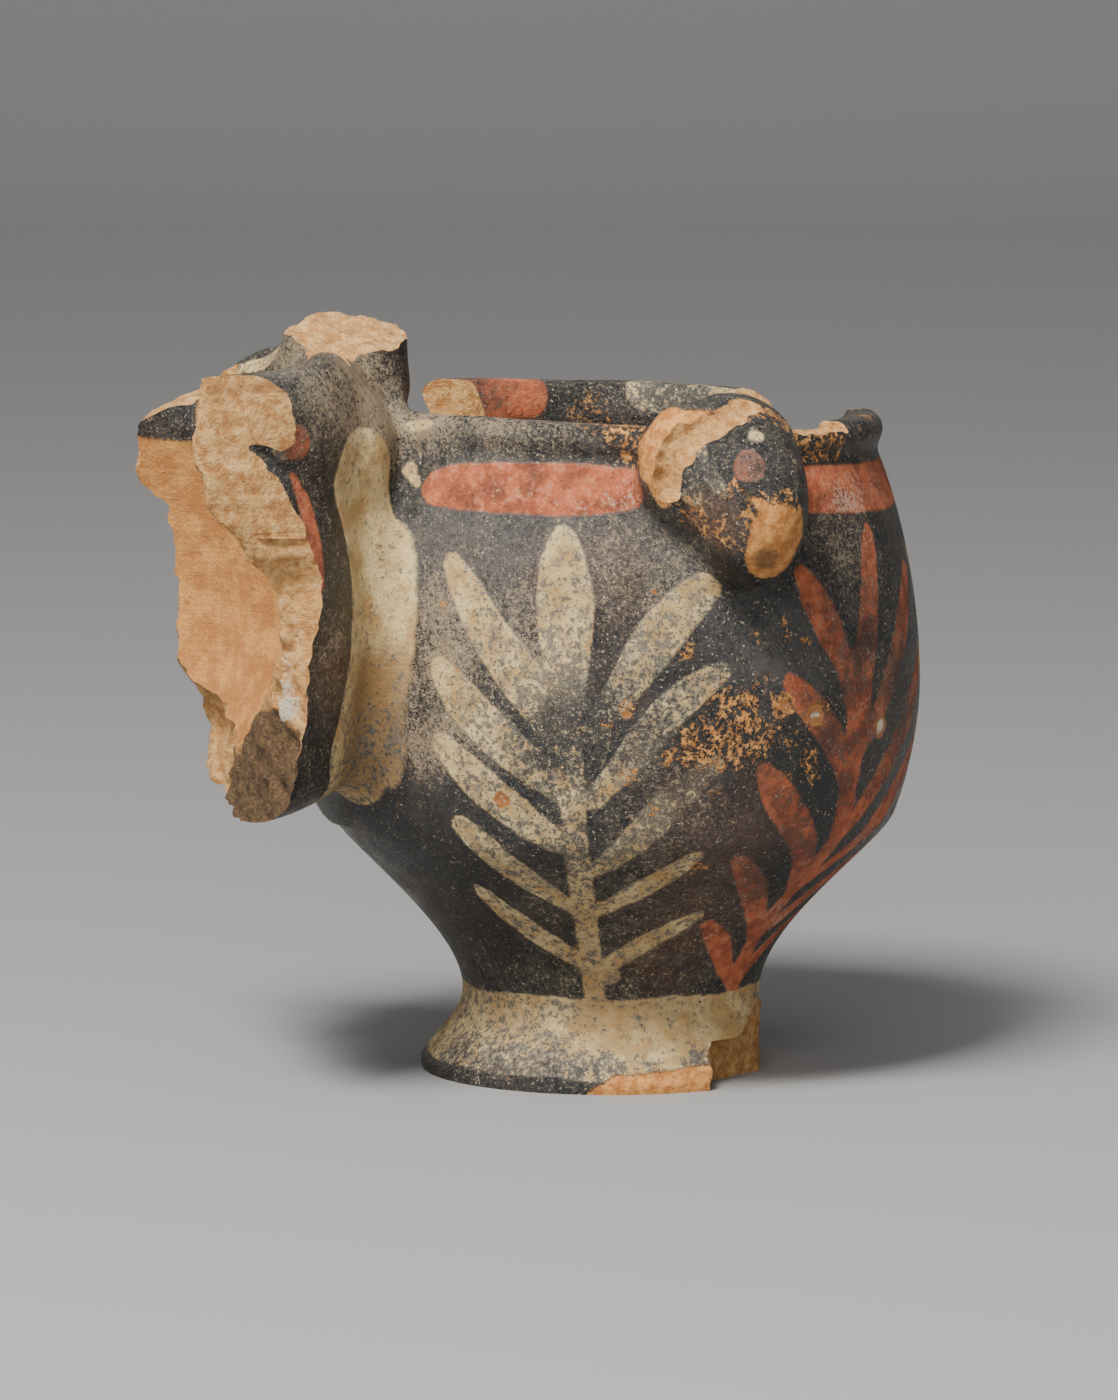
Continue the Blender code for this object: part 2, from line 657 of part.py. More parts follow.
def build():
    """Builds the jar and returns its object."""
    for old in list(bpy.data.objects):
        bpy.data.objects.remove(old)
    parts = bpy.data.collections.new(NAME)
    cutters = bpy.data.collections.new("cutters")
    for group in (parts, cutters):
        bpy.context.scene.collection.children.link(group)

    side_centre = (-SIDE_DISTANCE, 0.0)
    shells = [
        turned("jar_shell", jar_outside(), cutters),
        turned("side_shell", side_outside(), cutters, side_centre),
    ]
    shells += joint_fill(cutters)
    near_angle = -LUG_ANGLE
    lugs = lug("near_lug", near_angle, LUG_TOP, cutters, scarred=True)
    lugs += lug("far_lug", LUG_ANGLE, FAR_LUG_TOP, cutters)
    outside = remeshed(joined("outside", shells + lugs, cutters), GRAIN)
    cut(outside, turned("jar_hollow", jar_hollow(), cutters))
    cut(outside, shifted_floor(settle(turned("side_hollow", side_hollow(), cutters, side_centre))))
    settle(outside)
    jar = remeshed(joined("jar", [outside] + handle_root(cutters), parts), GRAIN)

    crease = 0.5 * (JAR.belly_radius + SIDE_DISTANCE - SIDE.belly_radius)
    lug_ring = JAR.belly_radius
    soft = [(Vector((-ROOT_OFFSET, 0.0, ROOT_HEIGHT - ROOT_SOFT_DROP)), ROOT_SOFT)]
    for side in (-1, 1):
        for height in JOINT_SOFT_HEIGHTS:
            soft.append((Vector((-crease, side * JOINT_SOFT_SIDE, height)), JOINT_SOFT))
        for height in (LUG_BOTTOM, 0.5 * (LUG_TOP + LUG_BOTTOM)):
            place = (lug_ring * math.cos(LUG_ANGLE), side * lug_ring * math.sin(LUG_ANGLE), height)
            soft.append((Vector(place), LUG_SOFT))
    softened(jar, soft, SOFT_ROUNDS)
    thinned(jar, TRIANGLES)

    cut(jar, slab("side_break", side_break, 40, 34, (-SIDE_DISTANCE, 0, 0), cutters))
    cut(jar, foot_chip(cutters))
    cut(jar, rim_gap(cutters))
    cut(jar, rim_chip(cutters))
    cut(jar, far_gap(cutters))
    top = Vector((-ROOT_OFFSET, 0.0, ROOT_HEIGHT - BREAK_ROUGHNESS))
    slope = Vector((0, 0, math.cos(ROOT_SLOPE))) + FRONT * math.sin(ROOT_SLOPE)
    width = 3.4 * ROOT_RADIUS
    cut(jar, flat_break("root_break", top, slope, RIGHT, width, width, 7, cutters))
    cut(jar, lug_scar(cutters))
    cut(jar, slab("ground", flat_ground, 2, 2, (0, 0, -CUT_DEPTH), cutters))
    settle(jar)
    for vertex in jar.data.vertices:
        vertex.co.z += lean(vertex.co.x, vertex.co.z)
    finish(jar)
    return jar


build()
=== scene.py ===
"""The looks of a small hand made clay jar with painted leafy sprays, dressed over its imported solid.

The jar's skin is built again from the solid's own sizes with a finer mesh, so that its breaks, wall
and lugs carry relief. What is painted, worn or bare is kept as mesh attributes, measured in
millimetres on the jar before its rim leans, and one set of materials reads them.
"""
import math
from collections import namedtuple

import bmesh
import bpy
import numpy as np
from mathutils import Matrix, Vector, noise


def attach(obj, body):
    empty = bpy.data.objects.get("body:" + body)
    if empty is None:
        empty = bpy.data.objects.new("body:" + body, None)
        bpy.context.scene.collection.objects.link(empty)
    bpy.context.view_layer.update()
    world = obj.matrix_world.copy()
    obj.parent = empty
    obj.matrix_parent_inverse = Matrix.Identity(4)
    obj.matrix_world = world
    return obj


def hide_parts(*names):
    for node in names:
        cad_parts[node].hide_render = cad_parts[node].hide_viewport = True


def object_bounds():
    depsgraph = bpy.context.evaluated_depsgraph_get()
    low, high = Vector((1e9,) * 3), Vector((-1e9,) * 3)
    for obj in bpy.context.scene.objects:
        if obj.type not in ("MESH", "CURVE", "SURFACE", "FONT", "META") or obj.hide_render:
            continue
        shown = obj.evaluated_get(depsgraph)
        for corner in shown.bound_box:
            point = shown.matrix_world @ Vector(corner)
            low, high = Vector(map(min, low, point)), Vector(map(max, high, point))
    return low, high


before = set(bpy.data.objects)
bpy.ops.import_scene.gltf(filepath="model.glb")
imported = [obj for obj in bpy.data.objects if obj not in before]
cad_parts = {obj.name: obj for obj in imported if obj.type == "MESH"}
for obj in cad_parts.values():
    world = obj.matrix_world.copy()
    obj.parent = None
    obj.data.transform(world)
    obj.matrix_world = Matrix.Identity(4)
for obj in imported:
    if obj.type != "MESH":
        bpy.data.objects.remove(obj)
cad_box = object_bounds()

# Sizes of the solid, in metres
Vessel = namedtuple(
    "Vessel",
    "rim_height lip_radius neck_radius neck_height belly_radius belly_height turn_radius turn_height",
)
JAR = Vessel(0.0898, 0.0364, 0.0353, 0.0852, 0.0414, 0.0533, 0.0378, 0.0344)
SIDE = Vessel(0.0903, 0.0325, 0.0312, 0.0864, 0.0360, 0.0650, 0.0335, 0.0425)
WALL = 0.0055
LIP_WALL = 0.0045
LIP_FLARE = 0.0016
WAIST_RADIUS = 0.0199
WAIST_HEIGHT = 0.0108
FOOT_RADIUS = 0.0257
FOOT_EDGE = 0.0014
SUNK = 0.002
FLOOR_HEIGHT = 0.0155
SIDE_DISTANCE = 0.0720
SIDE_UNDERSIDE = 0.0352
SIDE_FLOOR = 0.0056
SIDE_BOWL_RADIUS = 0.0225
SIDE_BOWL_HEIGHT = 0.0475
SIDE_FLOOR_RADIUS = 0.0198
SIDE_FLOOR_SHIFT = 0.0070
JOINT_FILL_WIDTH = 0.0190
JOINT_FILL_DEPTH = 0.0050
JOINT_FILL_BOTTOM = 0.0400
ROOT_RADIUS = 0.0082
ROOT_HEIGHT = 0.0994
ROOT_OFFSET = 0.0374
ROOT_SLOPE = math.radians(12)
SPREAD_ANGLES = (-88.0, 58.0)
SPREAD_BALLS = 36
# Rows are (angle round the side rim in degrees, crest height)
SPREAD_CREST = (
    (-88, 0.095), (-72, 0.0958), (-50, 0.0962), (-22, 0.0978), (0, 0.0992), (20, 0.0964),
    (40, 0.0917), (58, 0.0893),
)
# Rows are (angle, half width, half height) of the balls under the crest
SPREAD_WIDTH = ((-88, 0.0034), (-60, 0.004), (-20, 0.0058), (0, 0.0066), (20, 0.0056), (58, 0.0032))
SPREAD_DEPTH = ((-88, 0.0036), (-70, 0.0042), (-45, 0.01), (-15, 0.014), (15, 0.012), (58, 0.0034))
# The clay pressed in round the foot of the root, on both sides of it
COLLAR_SIDE = 0.0105
COLLAR_SIZES = (0.0085, 0.0090, 0.0105)
COLLAR_SHIFT = 0.0045
ROOT_SPARE = 0.004
ROOT_FLARE = 0.0008
LUG_ANGLE = math.radians(85)
LUG_WIDTH = 0.0156
LUG_REACH = 0.0102
LUG_TOP = 0.0940
LUG_BOTTOM = 0.0655
FAR_LUG_TOP = 0.0865
LUG_TILT = math.radians(-6)
CROWN_TILT = math.radians(25)
RIM_LEAN = 0.040
LEAN_START = 0.0200
BREAK_TURN = math.radians(-20)
RIGHT = Vector((math.cos(BREAK_TURN), math.sin(BREAK_TURN), 0.0))
FRONT = Vector((math.sin(BREAK_TURN), -math.cos(BREAK_TURN), 0.0))
BREAK_ROUGHNESS = 0.0009
BREAK_GRAIN = 0.005
FINE_BREAK_GRAIN = 0.0025
CUT_DEPTH = 0.020
RIM_GAP_DEPTH = 0.0072
RIM_CHIP_DEPTH = 0.0013
RIM_CHIP_ANGLES = (math.radians(-78), math.radians(-50))
FOOT_CHIP_HEIGHT = 0.0125
# Rows are (share of the way along the foot's break, height of its top)
FOOT_CHIP_TOPS = ((0.2, 0.006), (0.4, 0.0092), (0.52, 0.0125))
LUG_SCAR_DEPTH = 0.0011
# Rows are (x, y, z, radius) of the balls that take the skin off the near lug's upper side
LUG_SCAR = (
    (0.004, -0.0412, 0.0937, 0.0034), (0.0012, -0.0428, 0.0925, 0.0032),
    (-0.0018, -0.0434, 0.0908, 0.003), (-0.0045, -0.0437, 0.089, 0.0028),
    (-0.0066, -0.0434, 0.0869, 0.0027), (-0.008, -0.043, 0.0849, 0.0027),
    (-0.0084, -0.0424, 0.0829, 0.0024), (-0.008, -0.0423, 0.0813, 0.0017),
)
FAR_GAP_ANGLES = (math.radians(-16), math.radians(41))
FAR_GAP_DEPTH = 0.0058
BREAK_FLOOR = 0.018
BREAK_TOP = 0.118
INNER_EDGE = ((0.062, 0.0174), (0.069, 0.0155), (0.075, 0.0105), (0.082, 0.005))
OUTER_EDGE = ((0.045, 0.018), (0.062, 0.0195), (0.069, 0.0215), (0.08, 0.02))
FAR_EDGE = (
    (0.04, 0.0218), (0.046, 0.023), (0.049, 0.0222), (0.055, 0.0182), (0.064, 0.0186),
    (0.0745, 0.0176), (0.079, 0.0124), (0.086, 0.0132), (0.093, 0.0235),
)
FAR_EDGE_START = (-0.012, 0.016)
FAR_EDGE_SLANT = 0.55
FAR_EDGE_SLANT_START = 0.0235
NEAR_FACE_IN = ((0.062, 0.0245), (0.069, 0.0255), (0.078, 0.0288))
NEAR_FACE_OUT = ((0.062, 0.0305), (0.069, 0.029), (0.078, 0.0296))
JOINT_SOFT_HEIGHTS = (0.040, 0.055, 0.070, 0.084)
JOINT_SOFT_SIDE = 0.018
JOINT_SOFT = 0.014
LUG_SOFT = 0.017
ROOT_SOFT = 0.026
ROOT_SOFT_DROP = 0.012

# The finer mesh
GRAIN = 0.00064
TURN_STEPS = 240
CURVE_STEPS = 14
BREAK_STEP = 0.0006
TRIANGLES = 165000
SCAR_GRAIN = 0.0005
SOFT_ROUNDS = 84
EVEN_ROUNDS = 4
SHARP_ANGLE = math.radians(38)

MM = 0.001


def bezier(start, first, second, end, steps=CURVE_STEPS):
    """Points of a cubic curve from start to end, without its last point."""
    points = []
    for i in range(steps):
        t = i / steps
        weights = ((1 - t) ** 3, 3 * t * (1 - t) ** 2, 3 * t * t * (1 - t), t**3)
        corners = (start, first, second, end)
        points.append(tuple(sum(w * c[k] for w, c in zip(weights, corners)) for k in (0, 1)))
    return points


def blend(low, high, value):
    """0 below low, 1 above high and a smooth ramp between them."""
    t = min(max((value - low) / (high - low), 0.0), 1.0)
    return t * t * (3 - 2 * t)


def on_break_axes(right, front, height=0.0):
    """The point that lies right and front along the axes of the breaks."""
    return RIGHT * right + FRONT * front + Vector((0.0, 0.0, height))


def lean(x, z):
    """How far the wall at x and z is raised by the lean of the rim."""
    return -RIM_LEAN * x * blend(LEAN_START, JAR.rim_height, z)


def rough(point, grain, seed):
    """Smooth noise between about -1 and 1 whose lumps measure grain."""
    return noise.noise(Vector(point) / grain + Vector((seed, 2 * seed, -seed)))


def lip_points(v):
    """The everted lip as (radius, height), from its top edge out and down to the neck groove."""
    rise = v.rim_height - v.neck_height
    return [
        (v.lip_radius - 0.75 * LIP_WALL, v.rim_height - 0.03 * rise),
        (v.lip_radius - 0.35 * LIP_WALL, v.rim_height),
        (v.lip_radius - 0.08 * LIP_WALL, v.rim_height - 0.20 * rise),
        (v.lip_radius, v.rim_height - 0.48 * rise),
        (v.lip_radius - 0.10 * LIP_WALL, v.neck_height + 0.22 * rise),
    ]


def wall_points(v):
    """The outer wall as (radius, height), from the neck groove down to the turn."""
    shoulder = v.neck_height - v.belly_height
    lower = v.belly_height - v.turn_height
    swell = v.belly_radius - v.neck_radius
    upper = bezier(
        (v.neck_radius, v.neck_height),
        (v.neck_radius + 0.48 * swell, v.neck_height - 0.20 * shoulder),
        (v.belly_radius, v.belly_height + 0.40 * shoulder),
        (v.belly_radius, v.belly_height),
    )
    under = bezier(
        (v.belly_radius, v.belly_height),
        (v.belly_radius, v.belly_height - 0.39 * lower),
        (v.turn_radius + 0.42 * (v.belly_radius - v.turn_radius), v.turn_height + 0.19 * lower),
        (v.turn_radius, v.turn_height),
    )
    return upper + under + [(v.turn_radius, v.turn_height)]


def jar_outside():
    """The whole outer profile of the jar, from the axis at the top to the axis at the bottom."""
    v = JAR
    cone = bezier(
        (v.turn_radius, v.turn_height),
        (v.turn_radius - 0.0033, v.turn_height - 0.0049),
        (WAIST_RADIUS + 0.0003, WAIST_HEIGHT + 0.0082),
        (WAIST_RADIUS, WAIST_HEIGHT),
    )
    spread = FOOT_RADIUS - WAIST_RADIUS
    foot = bezier(
        (WAIST_RADIUS, WAIST_HEIGHT),
        (WAIST_RADIUS, WAIST_HEIGHT - 0.0038),
        (FOOT_RADIUS - 0.38 * spread, FOOT_EDGE + 0.0036),
        (FOOT_RADIUS, FOOT_EDGE),
    )
    edge = [(FOOT_RADIUS, FOOT_EDGE), (FOOT_RADIUS - 0.0002, 0.0), (FOOT_RADIUS - 0.0010, -SUNK)]
    upper = [(0.0, v.rim_height)] + lip_points(v) + wall_points(v)
    return upper + cone[1:] + foot + edge + [(0.0, -SUNK)]


def side_outside():
    """The outer profile of the side vessel, whose underside is nearly flat."""
    v = SIDE
    under = bezier(
        (v.turn_radius, v.turn_height),
        (v.turn_radius - 0.0045, v.turn_height - 0.0048),
        (0.6 * v.turn_radius, SIDE_UNDERSIDE),
        (0.0, SIDE_UNDERSIDE),
    )
    upper = [(0.0, v.rim_height)] + lip_points(v) + wall_points(v)
    return upper + under[1:] + [(0.0, SIDE_UNDERSIDE)]


def hollow_profile(v, turn_radius, turn_height, floor_radius, floor_height):
    """The inside of a vessel as a solid, from above its mouth down to its floor."""
    mouth = v.neck_radius - LIP_WALL
    inner = v.belly_radius - WALL
    shoulder = v.neck_height - v.belly_height
    upper = bezier(
        (mouth, v.neck_height),
        (mouth + 0.45 * (inner - mouth), v.neck_height - 0.25 * shoulder),
        (inner, v.belly_height + 0.40 * shoulder),
        (inner, v.belly_height),
    )
    lower = bezier(
        (inner, v.belly_height),
        (inner, 0.5 * (v.belly_height + turn_height)),
        (turn_radius, turn_height),
        (floor_radius, 0.5 * (turn_height + floor_height)),
    )
    floor = bezier(
        (floor_radius, 0.5 * (turn_height + floor_height)),
        (0.7 * floor_radius, floor_height),
        (0.4 * floor_radius, floor_height),
        (0.0, floor_height),
    )
    top = v.rim_height + LIP_FLARE
    flare = [(0.0, top), (mouth + LIP_FLARE, top), (mouth + 0.4 * LIP_FLARE, v.rim_height - LIP_FLARE)]
    return flare + upper + lower + floor + [(0.0, floor_height)]


def jar_hollow():
    v = JAR
    turn = (v.turn_radius - WALL, v.turn_height + 0.003)
    return hollow_profile(v, *turn, WAIST_RADIUS - 0.004, FLOOR_HEIGHT)


def side_hollow():
    v = SIDE
    floor = SIDE_UNDERSIDE + SIDE_FLOOR
    return hollow_profile(v, SIDE_BOWL_RADIUS, SIDE_BOWL_HEIGHT, SIDE_FLOOR_RADIUS, floor)


def shifted_floor(body):
    """Moves the lower part of a settled hollow sideways, so that the wall is thicker on the near side."""
    floor = SIDE_UNDERSIDE + SIDE_FLOOR
    for vertex in body.data.vertices:
        vertex.co.y += SIDE_FLOOR_SHIFT * (1 - blend(floor, SIDE.belly_height, vertex.co.z))
    return body


def add_object(name, mesh):
    body = bpy.data.objects.new(name, mesh)
    bpy.context.scene.collection.objects.link(body)
    return body


def from_bmesh(name, bm):
    """One object that takes over what a bmesh holds."""
    mesh = bpy.data.meshes.new(name)
    bm.to_mesh(mesh)
    bm.free()
    return add_object(name, mesh)


def settled_mesh(body):
    """The mesh of an object with its modifiers applied, in world space."""
    depsgraph = bpy.context.evaluated_depsgraph_get()
    mesh = bpy.data.meshes.new_from_object(body.evaluated_get(depsgraph))
    mesh.transform(body.matrix_world)
    return mesh


def turned(name, profile, centre=(0.0, 0.0)):
    """A closed solid of revolution about a vertical axis through centre."""
    mesh = bpy.data.meshes.new(name)
    mesh.from_pydata([(r, 0.0, z) for r, z in profile], [(i, i + 1) for i in range(len(profile) - 1)], [])
    body = add_object(name, mesh)
    screw = body.modifiers.new("turn", "SCREW")
    screw.steps = TURN_STEPS
    screw.render_steps = TURN_STEPS
    screw.use_merge_vertices = True
    screw.merge_threshold = 0.00001
    body.location = (centre[0], centre[1], 0.0)
    bpy.context.view_layer.update()
    return body


def egg(name, centre, half_sizes, turn, tilt=0.0):
    """A ball stretched to half_sizes along its own axes, then tilted and turned about Z."""
    bm = bmesh.new()
    bmesh.ops.create_uvsphere(bm, u_segments=64, v_segments=40, radius=1.0)
    size = Matrix.Diagonal((*half_sizes, 1.0))
    pose = Matrix.Translation(centre) @ Matrix.Rotation(turn, 4, "Z") @ Matrix.Rotation(tilt, 4, "Y")
    bmesh.ops.transform(bm, matrix=pose @ size, verts=bm.verts)
    return from_bmesh(name, bm)


def joined(name, bodies):
    """One object that holds the settled meshes of several bodies, which may overlap."""
    bm = bmesh.new()
    for body in bodies:
        mesh = settled_mesh(body)
        bm.from_mesh(mesh)
        bpy.data.meshes.remove(mesh)
    for body in bodies:
        bpy.data.objects.remove(body)
    return from_bmesh(name, bm)


def settle(body):
    """Replaces an object's mesh by the result of its modifiers."""
    mesh = settled_mesh(body)
    body.modifiers.clear()
    body.matrix_world = Matrix()
    body.data = mesh
    return body


def carve(body, cutter, slot=0):
    """Takes cutter away from body, gives the new surface a material slot and removes the cutter."""
    cutter = settle(cutter)
    for face in cutter.data.polygons:
        face.material_index = slot
    for material in body.data.materials:
        cutter.data.materials.append(material)
    step = body.modifiers.new("cut", "BOOLEAN")
    step.operation = "DIFFERENCE"
    step.object = cutter
    settle(body)
    bpy.data.objects.remove(cutter)


def remeshed(body, size):
    step = body.modifiers.new("remesh", "REMESH")
    step.mode = "VOXEL"
    step.voxel_size = size
    return settle(body)


def softened(body, places, rounds):
    """Smooths the surface near each (centre, reach) of places, which rounds off where bodies meet."""
    group = body.vertex_groups.new(name="soft")
    points = np.array([v.co for v in body.data.vertices])
    weight = np.zeros(len(points))
    for centre, reach in places:
        far = np.linalg.norm(points - np.array(centre), axis=1)
        t = np.clip((far - 0.55 * reach) / (0.45 * reach), 0.0, 1.0)
        weight = np.maximum(weight, 1 - t * t * (3 - 2 * t))
    for index in np.nonzero(weight > 0.001)[0]:
        group.add([int(index)], float(weight[index]), "REPLACE")
    step = body.modifiers.new("soften", "SMOOTH")
    step.factor = 0.5
    step.iterations = rounds
    step.vertex_group = group.name
    return settle(body)


def lug(name, angle, top, scarred=False):
    """A solid lug handle that grows from the shoulder to its top, facing angle."""
    away = Vector((math.cos(angle), math.sin(angle), 0.0))
    middle = 0.5 * (top + LUG_BOTTOM)
    half = 0.5 * (top - LUG_BOTTOM)
    outer = JAR.belly_radius - 0.0010
    knee_centre = away * (outer + 0.10 * LUG_REACH) + Vector((0, 0, middle + 0.10 * half))
    knee = egg(name + "_knee", knee_centre, (LUG_REACH, 0.5 * LUG_WIDTH, 0.86 * half), angle, LUG_TILT)
    crown_centre = away * (JAR.neck_radius + 0.35 * LUG_REACH) + Vector((0, 0, top - 0.46 * half))
    crown_size = (0.88 * LUG_REACH, 0.52 * LUG_WIDTH, 0.46 * half)
    bodies = [knee, egg(name + "_crown", crown_centre, crown_size, angle, CROWN_TILT)]
    if scarred:
        beside = -angle / abs(angle) * away.cross(Vector((0, 0, 1)))
        scar = away * (JAR.neck_radius + 0.28 * LUG_REACH) + beside * 0.44 * LUG_WIDTH
        scar.z = top - 0.66 * half
        sizes = (0.62 * LUG_REACH, 0.44 * LUG_WIDTH, 0.62 * half)
        bodies.append(egg(name + "_scar", scar, sizes, angle))
    return bodies


def handle_root():
    """The root of the lost handle, standing on the joint of the two vessels."""
    low = JAR.rim_height - 0.5 * (ROOT_HEIGHT - JAR.rim_height)
    profile = [
        (0.0, ROOT_HEIGHT + ROOT_SPARE),
        (ROOT_RADIUS, ROOT_HEIGHT + ROOT_SPARE),
        (ROOT_RADIUS, ROOT_HEIGHT - ROOT_SPARE),
        (ROOT_RADIUS + ROOT_FLARE, JAR.rim_height + ROOT_FLARE),
        (0.78 * ROOT_RADIUS, JAR.rim_height - 0.5 * ROOT_SPARE),
        (0.4 * ROOT_RADIUS, low),
        (0.0, low),
    ]
    bodies = [turned("root_stub", profile, (-ROOT_OFFSET, 0.0))]
    ring = SIDE.lip_radius - 0.5 * LIP_WALL
    near, far = SPREAD_ANGLES
    for i in range(SPREAD_BALLS + 1):
        turn = near + (far - near) * i / SPREAD_BALLS
        angle = math.radians(turn)
        width = stations(turn, SPREAD_WIDTH)
        depth = stations(turn, SPREAD_DEPTH)
        height = stations(turn, SPREAD_CREST) - depth
        centre = (-SIDE_DISTANCE + ring * math.cos(angle), ring * math.sin(angle), height)
        bodies.append(egg("root_spread_%02d" % i, centre, (width, width, depth), angle))
    return bodies


def joint_fill():
    """The clay pressed into the crease between the two vessels and round the foot of the root."""
    top = JAR.rim_height - 0.5 * LIP_WALL
    half = 0.5 * (top - JOINT_FILL_BOTTOM)
    crease = 0.5 * (JAR.belly_radius + SIDE_DISTANCE - SIDE.belly_radius)
    sizes = (JOINT_FILL_DEPTH, JOINT_FILL_WIDTH, 1.25 * half)
    bodies = [egg("joint_fill", (-crease, 0.0, top - half), sizes, 0.0)]
    for side in (-1, 1):
        centre = (-crease - COLLAR_SHIFT, side * COLLAR_SIDE, top - 0.32 * COLLAR_SIZES[2])
        bodies.append(egg("collar", centre, COLLAR_SIZES, 0.0))
    return bodies


def slab(name, place, columns, rows, push):
    """A rough sheet whose points are place(u, v) for u and v from 0 to 1, thickened by push."""
    bm = bmesh.new()
    bmesh.ops.create_grid(bm, x_segments=columns, y_segments=rows, size=0.5)
    for vertex in bm.verts:
        vertex.co = place(vertex.co.x + 0.5, vertex.co.y + 0.5)
    back = bmesh.ops.extrude_face_region(bm, geom=bm.faces[:])
    moved = [item for item in back["geom"] if isinstance(item, bmesh.types.BMVert)]
    bmesh.ops.translate(bm, vec=push, verts=moved)
    bmesh.ops.recalc_face_normals(bm, faces=bm.faces)
    return from_bmesh(name, bm)


def stations(value, table):
    """Reads a table of (position, result) rows, with smooth ramps between the rows."""
    if value <= table[0][0]:
        return table[0][1]
    for (low, first), (high, second) in zip(table, table[1:]):
        if value <= high:
            return first + (second - first) * blend(low, high, value)
    return table[-1][1]


def crumbs(point, seed):
    """The finer relief of a broken surface, in shares of the break's own roughness."""
    lumps = 0.60 * rough(point, 0.0022, seed) + 0.42 * rough(point, 0.0013, seed + 1)
    return lumps + 0.26 * rough(point, 0.0008, seed + 2)


def side_break(u, v):
    """The fracture that took away most of the side vessel, as x over y and z."""
    reach = 1.5 * SIDE.belly_radius
    near = -0.61 * SIDE.belly_radius
    turn = -0.92 * SIDE.belly_radius
    y = stations(u, ((0.0, reach), (0.55, near), (0.9, turn), (1.0, -reach)))
    y = y if u > 0.55 else reach + (near - reach) * u / 0.55
    low = BREAK_FLOOR + (BREAK_TOP - BREAK_FLOOR) * v
    axis = -SIDE_DISTANCE
    z = low + lean(axis + 0.5 * SIDE.belly_radius, low)
    inner = axis + stations(z, INNER_EDGE)
    outer = axis + stations(z, OUTER_EDGE)
    far = axis + stations(z, FAR_EDGE)
    first = stations(z, NEAR_FACE_IN)
    last = stations(z, NEAR_FACE_OUT)
    x = outer + (inner - outer) * blend(-last, -first, y)
    x = x + (far - x) * blend(*FAR_EDGE_START, y)
    x += FAR_EDGE_SLANT * max(0.0, y - FAR_EDGE_SLANT_START)
    point = Vector((x, y, low))
    x += BREAK_ROUGHNESS * (rough(point, BREAK_GRAIN, 3) + 0.5 * rough(point, FINE_BREAK_GRAIN, 8))
    x += BREAK_ROUGHNESS * crumbs(point, 31)
    y += BREAK_ROUGHNESS * 0.7 * rough(point, BREAK_GRAIN, 11)
    y += BREAK_ROUGHNESS * crumbs(point, 41)
    return Vector((x, y, low))


def fence(path, low, high, seed):
    """A rough upright sheet along a path of points, from low to high, for slab."""
    steps = len(path) - 1

    def place(u, v):
        index = min(int(u * steps), steps - 1)
        share = u * steps - index
        point = path[index].lerp(path[index + 1], share)
        point = Vector((point.x, point.y, low + (high - low) * v))
        shift = BREAK_ROUGHNESS * (rough(point, BREAK_GRAIN, seed) + 0.5 * crumbs(point, seed + 50))
        return point + Vector((shift, shift * rough(point, BREAK_GRAIN, seed + 4), 0.0))

    return place


def foot_chip():
    """The piece lost from the foot, from its front right to its far right."""
    inner = 0.97 * WAIST_RADIUS
    path = [
        on_break_axes(0.50 * FOOT_RADIUS, 1.30 * FOOT_RADIUS),
        on_break_axes(0.52 * FOOT_RADIUS, 0.72 * inner),
        on_break_axes(inner, 0.27 * inner),
        on_break_axes(1.02 * inner, -0.30 * inner),
        on_break_axes(0.96 * inner, -0.95 * inner),
        on_break_axes(1.15 * inner, -1.50 * inner),
    ]
    low = -0.3 * FOOT_CHIP_HEIGHT
    wall = fence(path, low, FOOT_CHIP_HEIGHT, 5)

    def place(u, v):
        point = wall(u, v)
        point.z = low + (stations(u, FOOT_CHIP_TOPS) - low) * v
        return point

    return slab("foot_chip", place, 120, 30, (RIGHT + 0.3 * FRONT) * CUT_DEPTH)


def rim_gap():
    """The stretch of rim lost behind the handle root, from its floor up."""
    low = JAR.rim_height - RIM_GAP_DEPTH
    left = -1.10 * ROOT_OFFSET
    right = -0.455 * JAR.lip_radius
    back = -0.706 * JAR.lip_radius
    front = -0.10 * JAR.lip_radius

    def place(u, v):
        point = on_break_axes(left + (right - left) * u, back + (front - back) * v, low)
        climb = RIM_GAP_DEPTH * blend(0.45, 1.0, v)
        lumps = 1.6 * rough(point, BREAK_GRAIN, 2) + crumbs(point, 61)
        return point + Vector((0, 0, climb + BREAK_ROUGHNESS * lumps))

    return slab("rim_gap", place, 44, 40, (0, 0, CUT_DEPTH))


def rim_chip():
    """A shallow break along the top of the lip, right of the near lug."""
    low = JAR.rim_height - RIM_CHIP_DEPTH
    first, last = RIM_CHIP_ANGLES

    def place(u, v):
        angle = first + (last - first) * u
        radius = JAR.lip_radius * (0.80 + 0.30 * v)
        point = Vector((radius * math.cos(angle), radius * math.sin(angle), low))
        lumps = 0.6 * rough(point, BREAK_GRAIN, 6) + 0.8 * crumbs(point, 71)
        return point + Vector((0, 0, BREAK_ROUGHNESS * lumps))

    return slab("rim_chip", place, 48, 24, (0, 0, CUT_DEPTH))


def flat_ground(u, v):
    """The level surface that the foot stands on."""
    size = 4 * FOOT_RADIUS
    return Vector((size * (u - 0.5), size * (v - 0.5), 0.0))


def facing(normal, along):
    """A rotation whose Z axis is normal and whose X axis lies nearest to along."""
    z = normal.normalized()
    x = (along - z * along.dot(z)).normalized()
    y = z.cross(x)
    return Matrix((x, y, z)).transposed().to_4x4()


